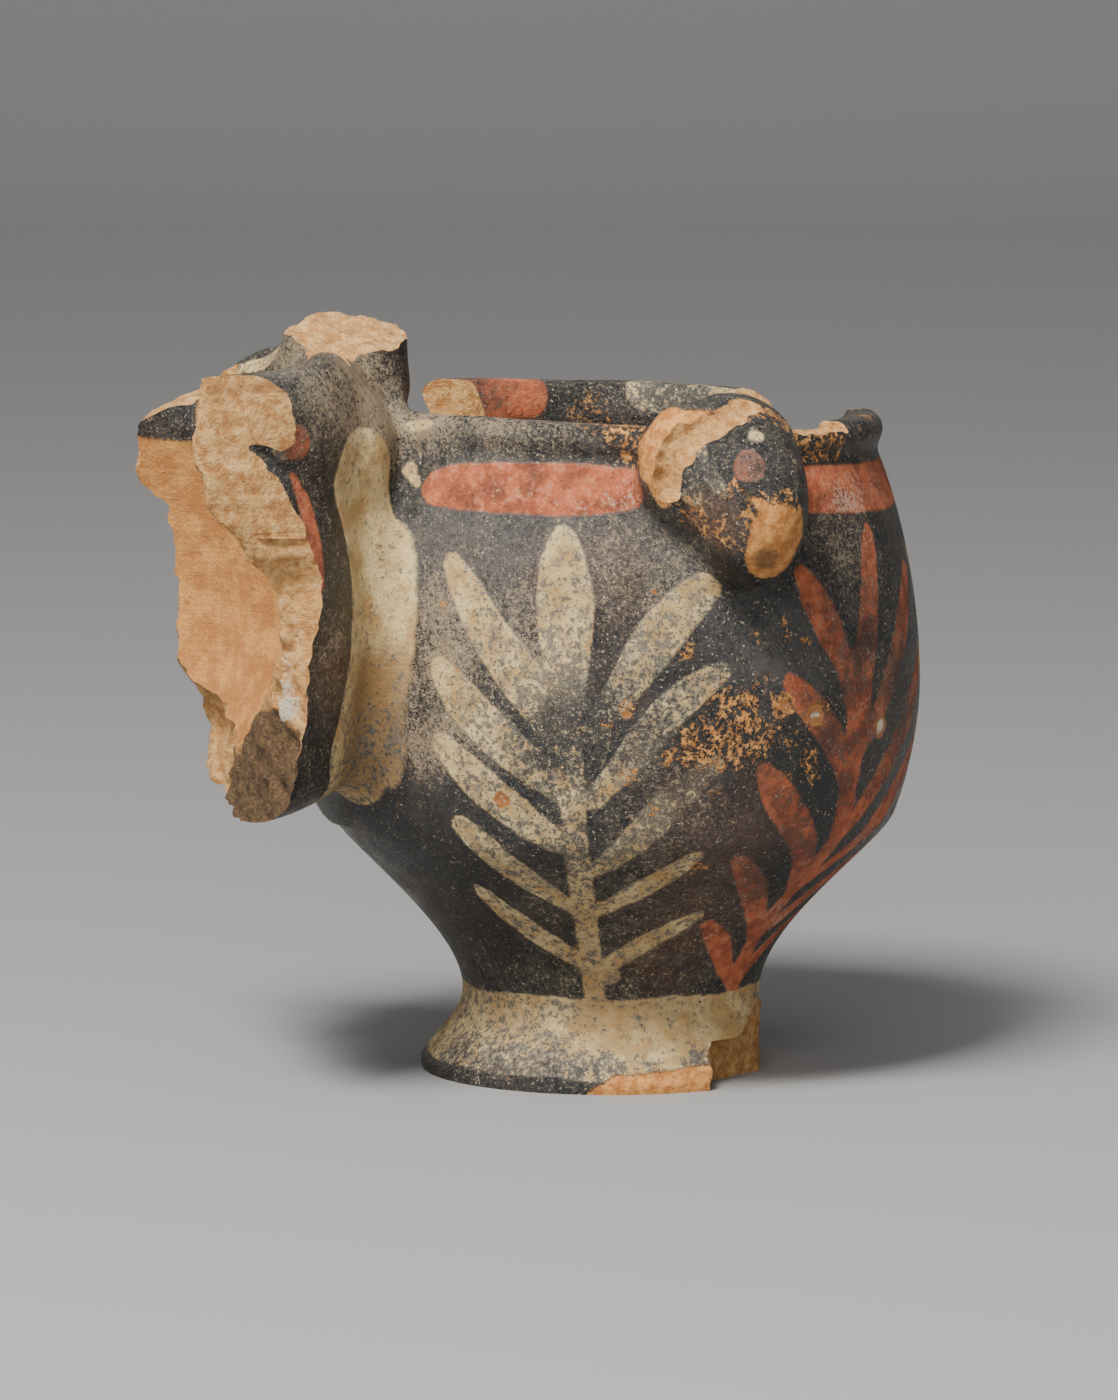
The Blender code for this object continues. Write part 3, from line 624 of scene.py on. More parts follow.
def flat_break(name, point, normal, along, length, width, seed):
    """Takes away what lies beyond a rough plane through point, over length by width."""
    pose = Matrix.Translation(point) @ facing(normal, along)

    def place(u, v):
        spot = Vector((length * (u - 0.5), width * (v - 0.5), 0.0))
        fine = rough(spot, FINE_BREAK_GRAIN, seed + 1)
        spot.z = BREAK_ROUGHNESS * (rough(spot, BREAK_GRAIN, seed) + 0.4 * fine + crumbs(spot, seed + 80))
        return pose @ spot

    columns = int(length / BREAK_STEP)
    rows = int(width / BREAK_STEP)
    return slab(name, place, columns, rows, normal.normalized() * CUT_DEPTH)


def lug_scar():
    """The strip of skin lost from the near lug's top, down its side towards the joint."""
    out = FRONT * 0.8 + Vector((0, 0, 0.6)) - RIGHT * 0.25
    balls = []
    for x, y, z, radius in LUG_SCAR:
        centre = Vector((x, y, z)) + out.normalized() * (radius - LUG_SCAR_DEPTH)
        balls.append(egg("lug_scar", centre, (radius, radius, radius), 0.0))
    scar = remeshed(joined("lug_scar", balls), SCAR_GRAIN)
    for vertex in scar.data.vertices:
        lumps = 0.5 * rough(vertex.co, BREAK_GRAIN, 9) + 0.8 * crumbs(vertex.co, 91)
        vertex.co += vertex.normal * BREAK_ROUGHNESS * lumps
    return scar


def far_gap():
    """The stretch of rim lost on the far right, deepest in its middle."""
    first, last = FAR_GAP_ANGLES

    def place(u, v):
        angle = first + (last - first) * u
        radius = JAR.lip_radius * (0.78 + 0.34 * v)
        depth = FAR_GAP_DEPTH * blend(0.0, 0.22, u) * blend(1.0, 0.72, u) - 0.3 * LIP_FLARE
        point = Vector((radius * math.cos(angle), radius * math.sin(angle), JAR.rim_height - depth))
        lumps = 1.2 * rough(point, BREAK_GRAIN, 16) + crumbs(point, 101)
        return point + Vector((0, 0, BREAK_ROUGHNESS * lumps))

    return slab("far_gap", place, 90, 24, (0, 0, CUT_DEPTH))


# Painted and worn places, as rows of (angle about the axis in degrees, height in mm, half width in mm)
CREAM_SPRAY = [
    [(-116, 10, 1.3), (-117.2, 17.7, 1.4), (-117.2, 27, 1.5), (-117.4, 38, 1.6), (-117.8, 49.2, 1.5)],
    [(-119.6, 75.2, 1.5), (-119.4, 72, 2.9), (-118.9, 67.2, 3.7), (-118.6, 62.1, 3.4), (-118.1, 49.2, 1.4)],
    [(-142.1, 71, 1.3), (-138.5, 67.6, 2.2), (-133.1, 62.2, 2.7), (-127, 56.7, 2.8), (-118.5, 47.6, 1.3)],
    [
        (-143.2, 57.4, 1.6), (-138.5, 53.6, 2.6), (-131.9, 49.4, 2.7), (-124.5, 45.1, 2.3),
        (-117.1, 41.3, 1.4),
    ],
    [(-142.8, 47.5, 1.6), (-137.5, 43.9, 2.4), (-130.8, 40.2, 2.5), (-124.2, 36.8, 2), (-118.1, 34.4, 1.3)],
    [(-140.7, 36.9, 1.5), (-135.7, 33.6, 2.2), (-129.9, 29.9, 2.1), (-123, 26.8, 1.4), (-118.4, 25, 1.1)],
    [(-143.8, 27.4, 1.3), (-139, 24, 1.8), (-130.9, 20.4, 1.7), (-122.4, 17.9, 1.2), (-116, 16.5, 1.1)],
    [(-92.5, 69.1, 2.1), (-97.4, 66, 2.8), (-103.2, 61.1, 2.9), (-108.7, 55.2, 2), (-113.8, 49.9, 1.2)],
    [(-89.7, 58.2, 1.3), (-94.9, 55.9, 2.1), (-101.4, 51.7, 2.3), (-106.8, 46.7, 2), (-113.3, 41.3, 1.2)],
    [(-90.8, 45.9, 1.2), (-97.3, 42, 2), (-102.8, 37.9, 2.1), (-109.5, 33.3, 1.6), (-116, 30.7, 1.1)],
    [(-92.5, 33.4, 1), (-97, 31.1, 1.6), (-103.5, 28.4, 1.7), (-111.6, 25.7, 1.1), (-117, 24.2, 1)],
    [(-86, 24, 1), (-93, 22, 1.5), (-101.1, 19.8, 1.5), (-110, 17.2, 1.2), (-116, 15.6, 1.1)],
    [(-114, 16.3, 0.9), (-110.5, 15.4, 1.3)],
]
RED_SPRAY = [
    [(-56, 10, 1.3), (-57, 22, 1.5), (-58, 34, 1.7), (-58.5, 45, 2), (-58, 56, 2.3)],
    [(-48.9, 74.8, 1.4), (-50.5, 71.6, 2), (-53.6, 63.7, 2.3), (-57, 55.8, 2.4), (-58.5, 45, 2)],
    [(-71.2, 70.8, 1.2), (-69, 67.7, 2.2), (-65.4, 63, 2.5), (-61.5, 57, 1.8), (-59, 50, 1.2)],
    [(-75.5, 56.4, 1.3), (-71.2, 53.2, 2.2), (-65.5, 48.8, 2.2), (-60, 42.5, 1.3)],
    [(-80.6, 44.6, 1.4), (-76.3, 40.8, 2.5), (-69.5, 35.6, 2.4), (-62.8, 30.2, 1.6), (-58, 26.5, 1.2)],
    [(-82.5, 32.3, 1.2), (-75.5, 28.6, 2), (-67, 24.2, 1.7), (-58, 19.5, 1.1)],
    [(-82, 22.6, 1), (-73.5, 19.4, 1.7), (-65, 15.6, 1.3), (-57, 12.5, 1)],
    [(-31.5, 69.5, 1.2), (-36.5, 65, 2.2), (-43.5, 58.5, 2.3), (-51, 51.5, 1.6), (-57, 46, 1.1)],
    [(-27.5, 57, 1.2), (-34, 52, 2.2), (-42.5, 45.5, 2.3), (-51.5, 38.6, 1.6), (-57, 34.5, 1.1)],
    [(-26, 45.5, 1.2), (-33.5, 41, 2.2), (-42.5, 35.6, 2.2), (-51, 30.2, 1.5), (-57, 26.5, 1.1)],
    [(-28, 32.5, 1.1), (-36.5, 28.6, 1.9), (-46, 24, 1.7), (-57, 19.2, 1)],
    [(-30, 22.8, 1), (-40.5, 19.2, 1.6), (-50, 15.4, 1.3), (-57, 12.6, 1)],
]
# The plainer sprays of the far side repeat these, turned by so many degrees
FAR_CREAM_TURNS = (233.5, 118.0)
FAR_RED_TURNS = (112.5,)
# Shoulder ovals and bands, in the same rows
RED_BANDS = [
    [(-148.5, 80.2, 2.4), (-141, 80.7, 3.1), (-121, 81.2, 3.5), (-112, 81.4, 3.2), (-106, 81.6, 2.6)],
    [(-66, 81.4, 3.2), (-50, 81, 3.3), (-34, 80.8, 3.3), (-18, 81, 3.2), (-8, 81.2, 2.4)],
    [(10, 81.2, 2.6), (28, 81, 3.3), (46, 81, 3.3), (62, 81.2, 2.6)],
    [(106, 81.4, 2.6), (116, 81.2, 3.3), (130, 81, 3.3), (140, 81, 2.6)],
]
# Marks off the jar's own wall, as rows of (x, y, z, half width) in mm
JOINT_BAND = [
    (-41.8, -19.8, 81.4, 6.5), (-40.3, -19.6, 73.4, 5.9), (-39.9, -21.2, 65.8, 5.1),
    (-40.3, -22, 58.2, 4.9), (-41.2, -22, 53.1, 5.4), (-42.5, -21.2, 47, 6.6),
    (-42.6, -17.2, 43.2, 6.6), (-41.6, -12, 41, 4.6),
]
FAR_JOINT_BAND = [(-39, 17.5, 83, 4), (-39.4, 18.8, 68, 4.2), (-40.7, 15.6, 46, 4.2)]
WHITE_MARKS = [
    [(-44.6, 4, 95, 1.6), (-46.4, 6.4, 94.2, 1.2), (-48.1, 12.6, 92.6, 0.9), (-48.8, 19.4, 90.8, 0.9)],
    [(-66.4, -28.6, 95, 0.7), (-67.2, -28.2, 92.3, 0.8), (-67.2, -27.6, 88, 0.7)],
    [(-57.5, -29.4, 88.8, 0.7), (-56.6, -29.2, 86, 0.9), (-56, -28.9, 84.8, 0.5)],
    [(-33.6, -14.6, 82, 1), (-33.2, -16.4, 80.6, 0.8)],
    [(-33.4, -13.9, 87.6, 0.8), (-31.6, -16.4, 88.2, 0.6)],
    [(2.4, -47.5, 89.9, 1), (2.9, -47.6, 89.6, 0.7)],
    [(-3.9, -43.8, 87.6, 0.9), (-4, -44.9, 85.6, 0.8), (-4.9, -45, 82.4, 1)],
    [(-5.4, -44.6, 81.4, 1.3), (-5, -44.8, 81, 1)],
    [(-2.6, -45.9, 83.7, 1.2), (-1.8, -46.6, 82.9, 1)],
    [(15.5, 27.6, 88.8, 3), (20, 24, 88.8, 3.2), (24, 19, 88, 2.2)],
]
RED_MARKS = [
    [(-54.3, -29, 87.1, 2.2), (-53.9, -29, 86.7, 2.3)],
    [
        (-54.2, -28.4, 82.6, 0.7), (-52.8, -28.2, 79.2, 1.4), (-51.7, -28.8, 74.4, 1.5),
        (-50.8, -29.2, 69, 1),
    ],
    [(0.8, -49.3, 86.1, 2.1), (0.9, -49.2, 86, 2.1)],
    [(-11, 31.2, 87.6, 2.4), (-8, 30.8, 87.6, 3.4), (-1, 31.6, 87.8, 3.4)],
]
# Skinned to the clay all over
BARE_MARKS = [
    [
        (-10.8, -23.1, 0, 0.9), (-8, -24.2, 0.6, 1.9), (-2.4, -25.3, 0.9, 2.2), (3.4, -24.9, 0.9, 2.4),
        (9, -24, 0.9, 2.6),
    ],
    [(-9.9, -37.6, 88, 1.5), (-9.2, -40.6, 86, 2.4), (-8.6, -41.6, 83.4, 2.1), (-8.4, -41.6, 80.8, 1.1)],
    [(-9.8, -40, 84.4, 1.6), (-9.2, -40.6, 88.6, 2.4), (-7.5, -40.4, 91.2, 2.4)],
    [(-7.4, -41.6, 90.6, 2), (-4.4, -42.4, 92.2, 1.4), (0, -42, 93.6, 1)],
    [(-0.8, -48.4, 83.5, 0.2), (1.9, -50.4, 81.4, 0.7), (3.4, -50.6, 79.4, 1.4)],
    [(4.6, -50, 77.4, 3.9), (4.4, -49, 73.8, 3.8)],
    [(7.6, -49.6, 79.8, 0.8), (7.4, -49, 76.8, 1.6)],
]
# Heights in mm: bare clay inside is below the first two, and the foot's cream is between the last two
INSIDE_LINE = 83.6
SIDE_LINE = 82.3
SIDE_LINE_SLOPE = 0.10
FOOT_CREAM = 12.0
FOOT_DARK = 1.5
# Soft zones, as rows of (x, y, z, reach in mm, strength)
FLAKED = [
    (5.8, -40.8, 56.6, 1.6, 0.26), (9.3, -40.2, 53.6, 1.5, 0.62), (14.2, -38.8, 52, 1.7, 0.66),
    (2.3, -41.2, 53.9, 2.2, 0.34), (2.6, -41.1, 51.6, 2.4, 0.38), (3.4, -41, 50, 2.4, 0.36),
    (-1.3, -41.2, 50.2, 2.6, 0.36), (-4.1, -40.8, 48.4, 2.2, 0.46), (-1.8, -41, 47.9, 2.2, 0.56),
    (1.7, -40.9, 47.4, 2.2, 0.56), (4.4, -40.8, 48.3, 2, 0.44), (7.7, -40.4, 49.3, 1.8, 0.32),
    (11.2, -39.5, 48.6, 1.4, 0.34), (13.6, -38.5, 46.2, 1.4, 0.42), (14.3, -37.9, 43.8, 1.6, 0.4),
    (10.3, -39.1, 44, 0.8, 0.6), (-4.7, -40.6, 60.8, 1.1, 0.46), (4.7, -40.4, 63.4, 1.1, 0.44),
    (9.5, -39.6, 63, 1.3, 0.4), (12.9, -38.8, 61.5, 0.9, 0.46), (-1.1, -41.2, 55.2, 0.7, 0.5),
    (-12.5, -39.4, 53.6, 1, 0.64), (-10.5, -39.9, 55.2, 0.8, 0.36), (-15.3, -38.3, 51.1, 0.9, 0.46),
    (-7, -40.3, 47.1, 0.8, 0.56), (-11.9, -38.7, 44.3, 1.3, 0.52), (-8.5, -38.6, 39.8, 0.8, 0.52),
    (0.1, -40, 42.2, 0.9, 0.46), (-32.4, -24.2, 65.3, 0.9, 0.52), (-31.3, -26.9, 57.4, 0.7, 0.56),
    (-31.5, -26.7, 53.7, 0.7, 0.52), (-0.9, -35.3, 31.6, 1.4, 0.4), (-25, -12.3, 22, 1, 0.48),
    (4, -50.2, 79.6, 2.8, 0.46), (-5, -43.6, 79.4, 2.4, 0.38), (-2, -46.4, 77, 2.4, 0.36),
    (1.2, -50, 79.6, 1.6, 0.4), (6.1, -50.4, 80, 1.9, 0.38), (-1.2, -47.9, 82.2, 1.1, 0.36),
    (-0.8, -48.2, 84, 0.9, 0.38), (0.6, -50, 75, 1.6, 0.36), (3.8, -42.6, 93.2, 2.6, 0.48),
    (6.4, -43.4, 92, 2, 0.46), (0.6, -43.4, 93, 2.2, 0.34), (8.4, -42.8, 90.4, 1.8, 0.34),
    (-10.4, -34, 88.8, 2.2, 0.48), (-9.6, -36, 87.4, 2.4, 0.52), (-9, -37, 85, 2, 0.5),
    (-14, -31.6, 89.6, 2, 0.34), (12.4, -33.6, 87.4, 2.4, 0.62), (16.6, -31.8, 87.6, 2.4, 0.62),
    (20.4, -28.8, 86.6, 1.8, 0.5), (25, -24, 87.4, 1.8, 0.36), (29, -18, 89.4, 2, 0.4),
    (8, 30, 85.6, 2.6, 0.36), (0, 31.5, 85.4, 2, 0.3), (-30.3, -17, 89, 1, 0.22),
]
DUSTY = [
    (-32, -25.6, 61.1, 5, 0.4), (-32.6, -23.5, 67.3, 3, 0.3), (-33.1, -24.8, 53.4, 6, 0.3),
    (-30, -28, 49, 4, 0.24), (-12.5, -37.1, 72.5, 5, 0.2), (-3.6, -39.4, 70.7, 4, 0.28),
    (-7, -40, 63, 4, 0.3), (-39, -10.1, 93.3, 7, 0.55), (-50, -24, 92.2, 6, 0.4),
    (-46, 0, 99, 6, 0.45), (-42, -19, 91, 5, 0.35), (19.5, -34.1, 72, 6, 0.25),
    (-9, -39.1, 42.7, 5, 0.16), (-2.3, -39.8, 41.2, 5, 0.12), (-9, -35.4, 33, 4, 0.16),
    (-34.6, -21.2, 45.2, 4, 0.45), (-24.6, -32.3, 64.3, 4, 0.3), (-22, -33.5, 58, 4, 0.3),
    (-38, -14, 86, 4, 0.4), (-30.3, -17, 89.2, 3.6, 0.5), (-24.5, -24.2, 89.6, 3.6, 0.42),
    (-17.7, -28.5, 89.8, 3.6, 0.36), (-47.4, -27.6, 60, 4, 0.3), (0, -12, 24, 16, 0.1),
]
# Places with less dust, so the slip is darker; the rows low on the left under the side vessel and the one
# under the near lug are painted shade
DARK_AND_SHADE = [
    (6, -41, 62, 6, 0.2), (-4, -41, 57, 4, 0.2), (4, -40.6, 50, 8, 0.16), (-30, -20, 38, 8, 0.16),
    (12, -34, 34, 8, 0.16), (-32.8, -15.9, 32.8, 9, 0.4), (-26.9, -11.1, 25.3, 8, 0.38),
    (1, -41, 58.7, 5, 0.35), (-13.2, -39.2, 54.6, 3, 0.2), (-4, -41, 52, 4, 0.3),
    (14, -37, 62, 8, 0.22), (16, -36, 40, 9, 0.2), (-32, -6, 99, 3, 0.4), (-1, -46, 70, 4, 0.4),
]
# Where a smooth grey film lies over the slip; on the near shoulder this grey is painted sheen, standing in
# for the light the glossy slip reflects there
FILM_AND_SHEEN = [
    (-28, -27, 76, 9, 0.5), (-14, -36, 77, 7, 0.3), (5, -39.6, 62, 7, 0.3), (14, -38, 60, 6, 0.3),
    (-54, -26, 92, 6, 0.25), (-4.6, -38.6, 74, 4, 0.4), (-36, -20, 72, 5, 0.3),
]
BROWN = [
    (-64, 20, 86, 8, 0.5), (-29.4, -26.3, 71.5, 4.5, 0.45), (-18, -35.5, 70, 6, 0.4),
    (-10, -37.9, 72.6, 4, 0.35), (0.9, -38.7, 37, 9, 0.45), (-22, -32.6, 72.1, 4, 0.3),
    (0.1, -26.1, 22, 8, 0.5), (-3, -45.8, 78.4, 3.2, 0.95), (-36, 4, 97, 6, 0.4),
    (-48, -27, 56, 4, 0.6), (-33, -23, 47, 4, 0.4),
]
PAINT_WORN = [
    (-8, -40.6, 60, 4.5, 0.08), (-25, -33, 53, 5, 0.04), (-26, -32, 42, 5, 0.04),
    (-40, -18, 78, 9, -0.26), (-40, -20, 64, 9, -0.24), (-19.6, -35, 72, 3, -0.05),
    (-4, -20, 9, 7, -0.16), (10, -18, 9, 6, -0.14), (-19, -36.8, 52, 4.5, 0.14),
    (-15, -38.6, 53.5, 3.4, 0.1), (-22.4, -35, 52, 3.4, 0.08), (-19.4, -36.4, 44, 4, 0.08),
    (-18, -33.6, 34, 4, 0.06), (-4.4, -44.8, 84.4, 3, 0.34), (0.9, -49.4, 86, 2.4, 0.34),
    (-54, -29, 87, 2.6, 0.2), (24, -33, 64, 7, 0.24), (31, -26, 48, 8, 0.24),
    (15, -36, 44, 7, 0.26), (9, -32, 30, 7, 0.26), (-10, 31, 88, 5, 0.3), (18, 25, 88, 5, 0.3),
    (-31.6, -21, 80.4, 3, 0.1), (-16, -38, 49, 5, 0.06), (-11, -39.6, 50, 4, 0.12),
    (-9, -39.1, 42.7, 5, 0.12), (-3, -40.4, 45, 5, 0.24), (-22, -35, 47, 4, 0.14),
    (-18, -37.4, 57, 4, 0.12), (-6, -40.6, 56, 4, 0.08), (-7, -37.5, 35, 5, 0.1),
    (-16, -33, 33, 5, 0.1), (2, -40.6, 59, 2.5, 0.16), (22, -34, 58, 4, 0.15),
    (16, -37.6, 54, 4, 0.2), (30, -27, 56, 5, 0.14), (-39.8, -17, 79.5, 3, 0.16),
    (-23.6, -5.2, 2.4, 3.4, 0.22), (-20.4, -12.6, 2.2, 3.2, 0.26), (-15, -18.6, 2.2, 3.4, 0.28),
    (-9.4, -22.2, 3.2, 2.6, 0.3), (-3, -24, 3.6, 1.6, 0.24), (4, -23.8, 3.8, 1.5, 0.26),
]
# Where the cream turns browner: the first three rows brown the joint band low down in the crease between
# the two vessels, the others are stains on the foot and the sprays
BROWNED = [
    (-39.6, -17, 55, 5, 0.7), (-40.2, -16.5, 49, 6.5, 0.8), (-40.7, -13, 44, 6, 0.7),
    (-8, -18.5, 11, 5, 0.45), (3, -19.6, 10.6, 5, 0.35), (-18.4, -9, 9.4, 4, 0.55),
    (-19, -36, 57, 4, 0.25), (-19.6, -34, 68, 4, 0.3), (-21, -34, 26, 6, 0.3),
    (-10, -26, 20, 8, 0.4),
]
# Broken out spots, as rows of (x, y, z, radius in mm)
CHIPS = [
    (-26.3, -29.9, 40.9, 0.8), (26.2, -31.7, 49.1, 1.25), (14.2, -38.8, 51.8, 1),
    (9.5, -40.2, 53.2, 0.5), (-12.4, -39.5, 52.8, 0.35), (9, -40.3, 53.8, 0.4),
    (-8.3, -39, 68.8, 0.12),
]
# A round dark spot on the near lug: painted shade, as in a shallow dent
SHADE_SPOT = [(3.3, -48.9, 74.0, 1.7, 0.75)]
# The broken faces: brown old breaks and white crusts, as rows of (x, y, z, reach in mm, strength)
BROWN_BREAKS = [
    (-55, -20, 42, 7, 1), (-55, -13, 42, 7, 1), (-54, -24, 46, 5, 0.8), (-52, -2, 38, 6, 0.9),
    (-50.5, 6, 38.5, 4.5, 0.9),
]
CRUSTS = [(-54.4, -25.4, 53.4, 2.6, 0.9), (-54.4, -25.6, 59, 1.8, 0.6), (-57.2, -29, 85, 1.6, 0.5)]

# The zones that are kept under their own names, each with its strength everywhere else
ZONES = (
    ("flaked", FLAKED, 0.06),
    ("film_and_sheen", FILM_AND_SHEEN, 0.12),
    ("brown", BROWN, 0.16),
    ("worn", PAINT_WORN, 0.13),
    ("browned", BROWNED, 0.10),
    ("painted_shade_spot", SHADE_SPOT, 0.0),
    ("brown_break", BROWN_BREAKS, 0.0),
    ("crust", CRUSTS, 0.0),
)
# How much dust lies on the slip everywhere, before the darker places take some off; a few of them are
# painted shade
DUST = 0.28
# In mm: the largest distance kept, the least half width of a stroke and the size of the paint's waver
FAR_OFF = 9.0
THIN_STROKE = 0.3
WAVER_SIZE = 9.0


def track(rows):
    """A smooth run along the jar's wall through rows of (angle, height, half width).

    Its rows are (x, y, z, half width) in mm.
    """
    rows = np.array(rows, dtype=float)
    padded = np.vstack([2 * rows[0] - rows[1], rows, 2 * rows[-1] - rows[-2]])
    out = []
    for i in range(1, len(padded) - 2):
        a, b, c, d = padded[i - 1 : i + 3]
        second = 2 * a - 5 * b + 4 * c - d
        third = 3 * b - a - 3 * c + d
        for t in (0.0, 0.25, 0.5, 0.75):
            out.append(0.5 * (2 * b + (c - a) * t + second * t**2 + third * t**3))
    out.append(rows[-1])
    angle, height, width = np.array(out).T
    turn = np.radians(angle)
    radius = wall_radius(height)
    x, y = radius * np.cos(turn), radius * np.sin(turn)
    return np.column_stack([x, y, height, np.maximum(width, THIN_STROKE)])


def profile_table(profile):
    """A turned profile as rising heights and their radii, in mm."""
    inner = [(z / MM, r / MM) for r, z in profile if r > 0]
    inner.sort()
    return np.array(inner).T


def wall_radius(height):
    return np.interp(height, *profile_table(jar_outside()))


def middle_radius(height, outside, inside):
    """The radius halfway through a wall, in mm, from its outer and inner profiles."""
    return 0.5 * sum(np.interp(height, *profile_table(profile)) for profile in (outside, inside))


def stroke(points, rows):
    """Distance in mm from points to the edge of a stroke with (x, y, z, half width) rows."""
    rows = np.array(rows, dtype=float)
    best = np.full(len(points), 99.0)
    for a, b in zip(rows, rows[1:]):
        along = b[:3] - a[:3]
        t = np.clip(((points - a[:3]) @ along) / (along @ along), 0.0, 1.0)
        gap = np.linalg.norm(points - a[:3] - t[:, None] * along, axis=1) - (a[3] + t * (b[3] - a[3]))
        best = np.minimum(best, gap)
    return best


def nearest(points, strokes):
    """Distance in mm from points to the nearest of several strokes, and at most FAR_OFF."""
    best = np.full(len(points), FAR_OFF)
    for rows in strokes:
        best = np.minimum(best, stroke(points, rows))
    return best


def zones(points, rows, base=0.0):
    """The sum of soft round zones at points."""
    total = np.full(len(points), float(base))
    for x, y, z, reach, strength in rows:
        far = np.linalg.norm(points - np.array((x, y, z)), axis=1) / reach
        total += strength * np.exp(-0.5 * far**2 * np.maximum(1.0, far))
    return np.clip(total, 0.0, 1.0)


def turned_rows(rows, turns):
    """The same rows again at each of several turns about the axis, in degrees."""
    return [[(angle + turn, *size) for angle, *size in row] for turn in turns for row in rows]


def store(mesh, name, values):
    layer = mesh.attributes.new(name, "FLOAT", "POINT")
    layer.data.foreach_set("value", np.asarray(values, dtype=np.float32))


def paint(mesh):
    """Stores what the materials read: distances to painted edges and the strengths of wear."""
    count = len(mesh.vertices)
    flat = np.empty(3 * count)
    mesh.vertices.foreach_get("co", flat)
    points = flat.reshape(-1, 3) / MM
    x, y, z = points.T
    radius = np.hypot(x, y)
    side_radius = np.hypot(x + SIDE_DISTANCE / MM, y)

    middle = middle_radius(z, jar_outside(), jar_hollow())
    side_middle = middle_radius(z, side_outside(), side_hollow())
    side_floor = (SIDE_UNDERSIDE + 0.5 * SIDE_FLOOR) / MM
    inside = (radius < middle) & (z > 0.5 * FLOOR_HEIGHT / MM)
    side_inside = (side_radius < side_middle) & (z > side_floor) & (radius > middle)
    within = inside | side_inside
    waver = np.array([noise.noise(Vector(p) / WAVER_SIZE) for p in points])

    bare = np.full(count, FAR_OFF)
    bare = np.where(inside, z - INSIDE_LINE - 0.8 * waver, bare)
    bare = np.where(side_inside, z - SIDE_LINE - SIDE_LINE_SLOPE * (y - 20.0) - 0.5 * waver, bare)
    bare = np.minimum(bare, nearest(points, BARE_MARKS))

    strokes = RED_SPRAY + RED_BANDS + turned_rows(RED_SPRAY, FAR_RED_TURNS)
    red = np.where(within, FAR_OFF, nearest(points, [track(rows) for rows in strokes]))
    red = np.minimum(red, nearest(points, RED_MARKS))

    strokes = CREAM_SPRAY + turned_rows(CREAM_SPRAY, FAR_CREAM_TURNS)
    cream = nearest(points, [track(rows) for rows in strokes] + [JOINT_BAND, FAR_JOINT_BAND])
    low = FOOT_DARK + 0.9 * np.clip(-x / 20.0, -0.4, 1.0) + 0.5 * waver
    cream = np.minimum(cream, np.maximum(z - FOOT_CREAM - 0.5 * waver, low - z))
    cream = np.minimum(np.where(within, FAR_OFF, cream), nearest(points, WHITE_MARKS))

    chip = np.full(count, FAR_OFF)
    for *centre, size in CHIPS:
        chip = np.minimum(chip, np.linalg.norm(points - np.array(centre), axis=1) - size)

    for name, distance in (("cream", cream), ("red", red), ("bare", bare), ("chip", chip)):
        store(mesh, name, np.clip(distance, -FAR_OFF, FAR_OFF))
    for name, rows, base in ZONES:
        store(mesh, name, zones(points, rows, base))
    # Dust, less where the slip is darker, and least in the painted shade under the side vessel and the near
    # lug
    store(mesh, "dust_and_shade", np.clip(zones(points, DUSTY, DUST) - zones(points, DARK_AND_SHADE), 0.0, 1.0))
    store(mesh, "inner", np.where(within, 1.0, 0.0))
    spot = mesh.attributes.new("spot", "FLOAT_VECTOR", "POINT")
    spot.data.foreach_set("vector", points.astype(np.float32).ravel())


def srgb(red, green, blue):
    """A linear colour from display values of 0 to 255, none of them very dark."""
    return (*(((c / 255 + 0.055) / 1.055) ** 2.4 for c in (red, green, blue)), 1.0)


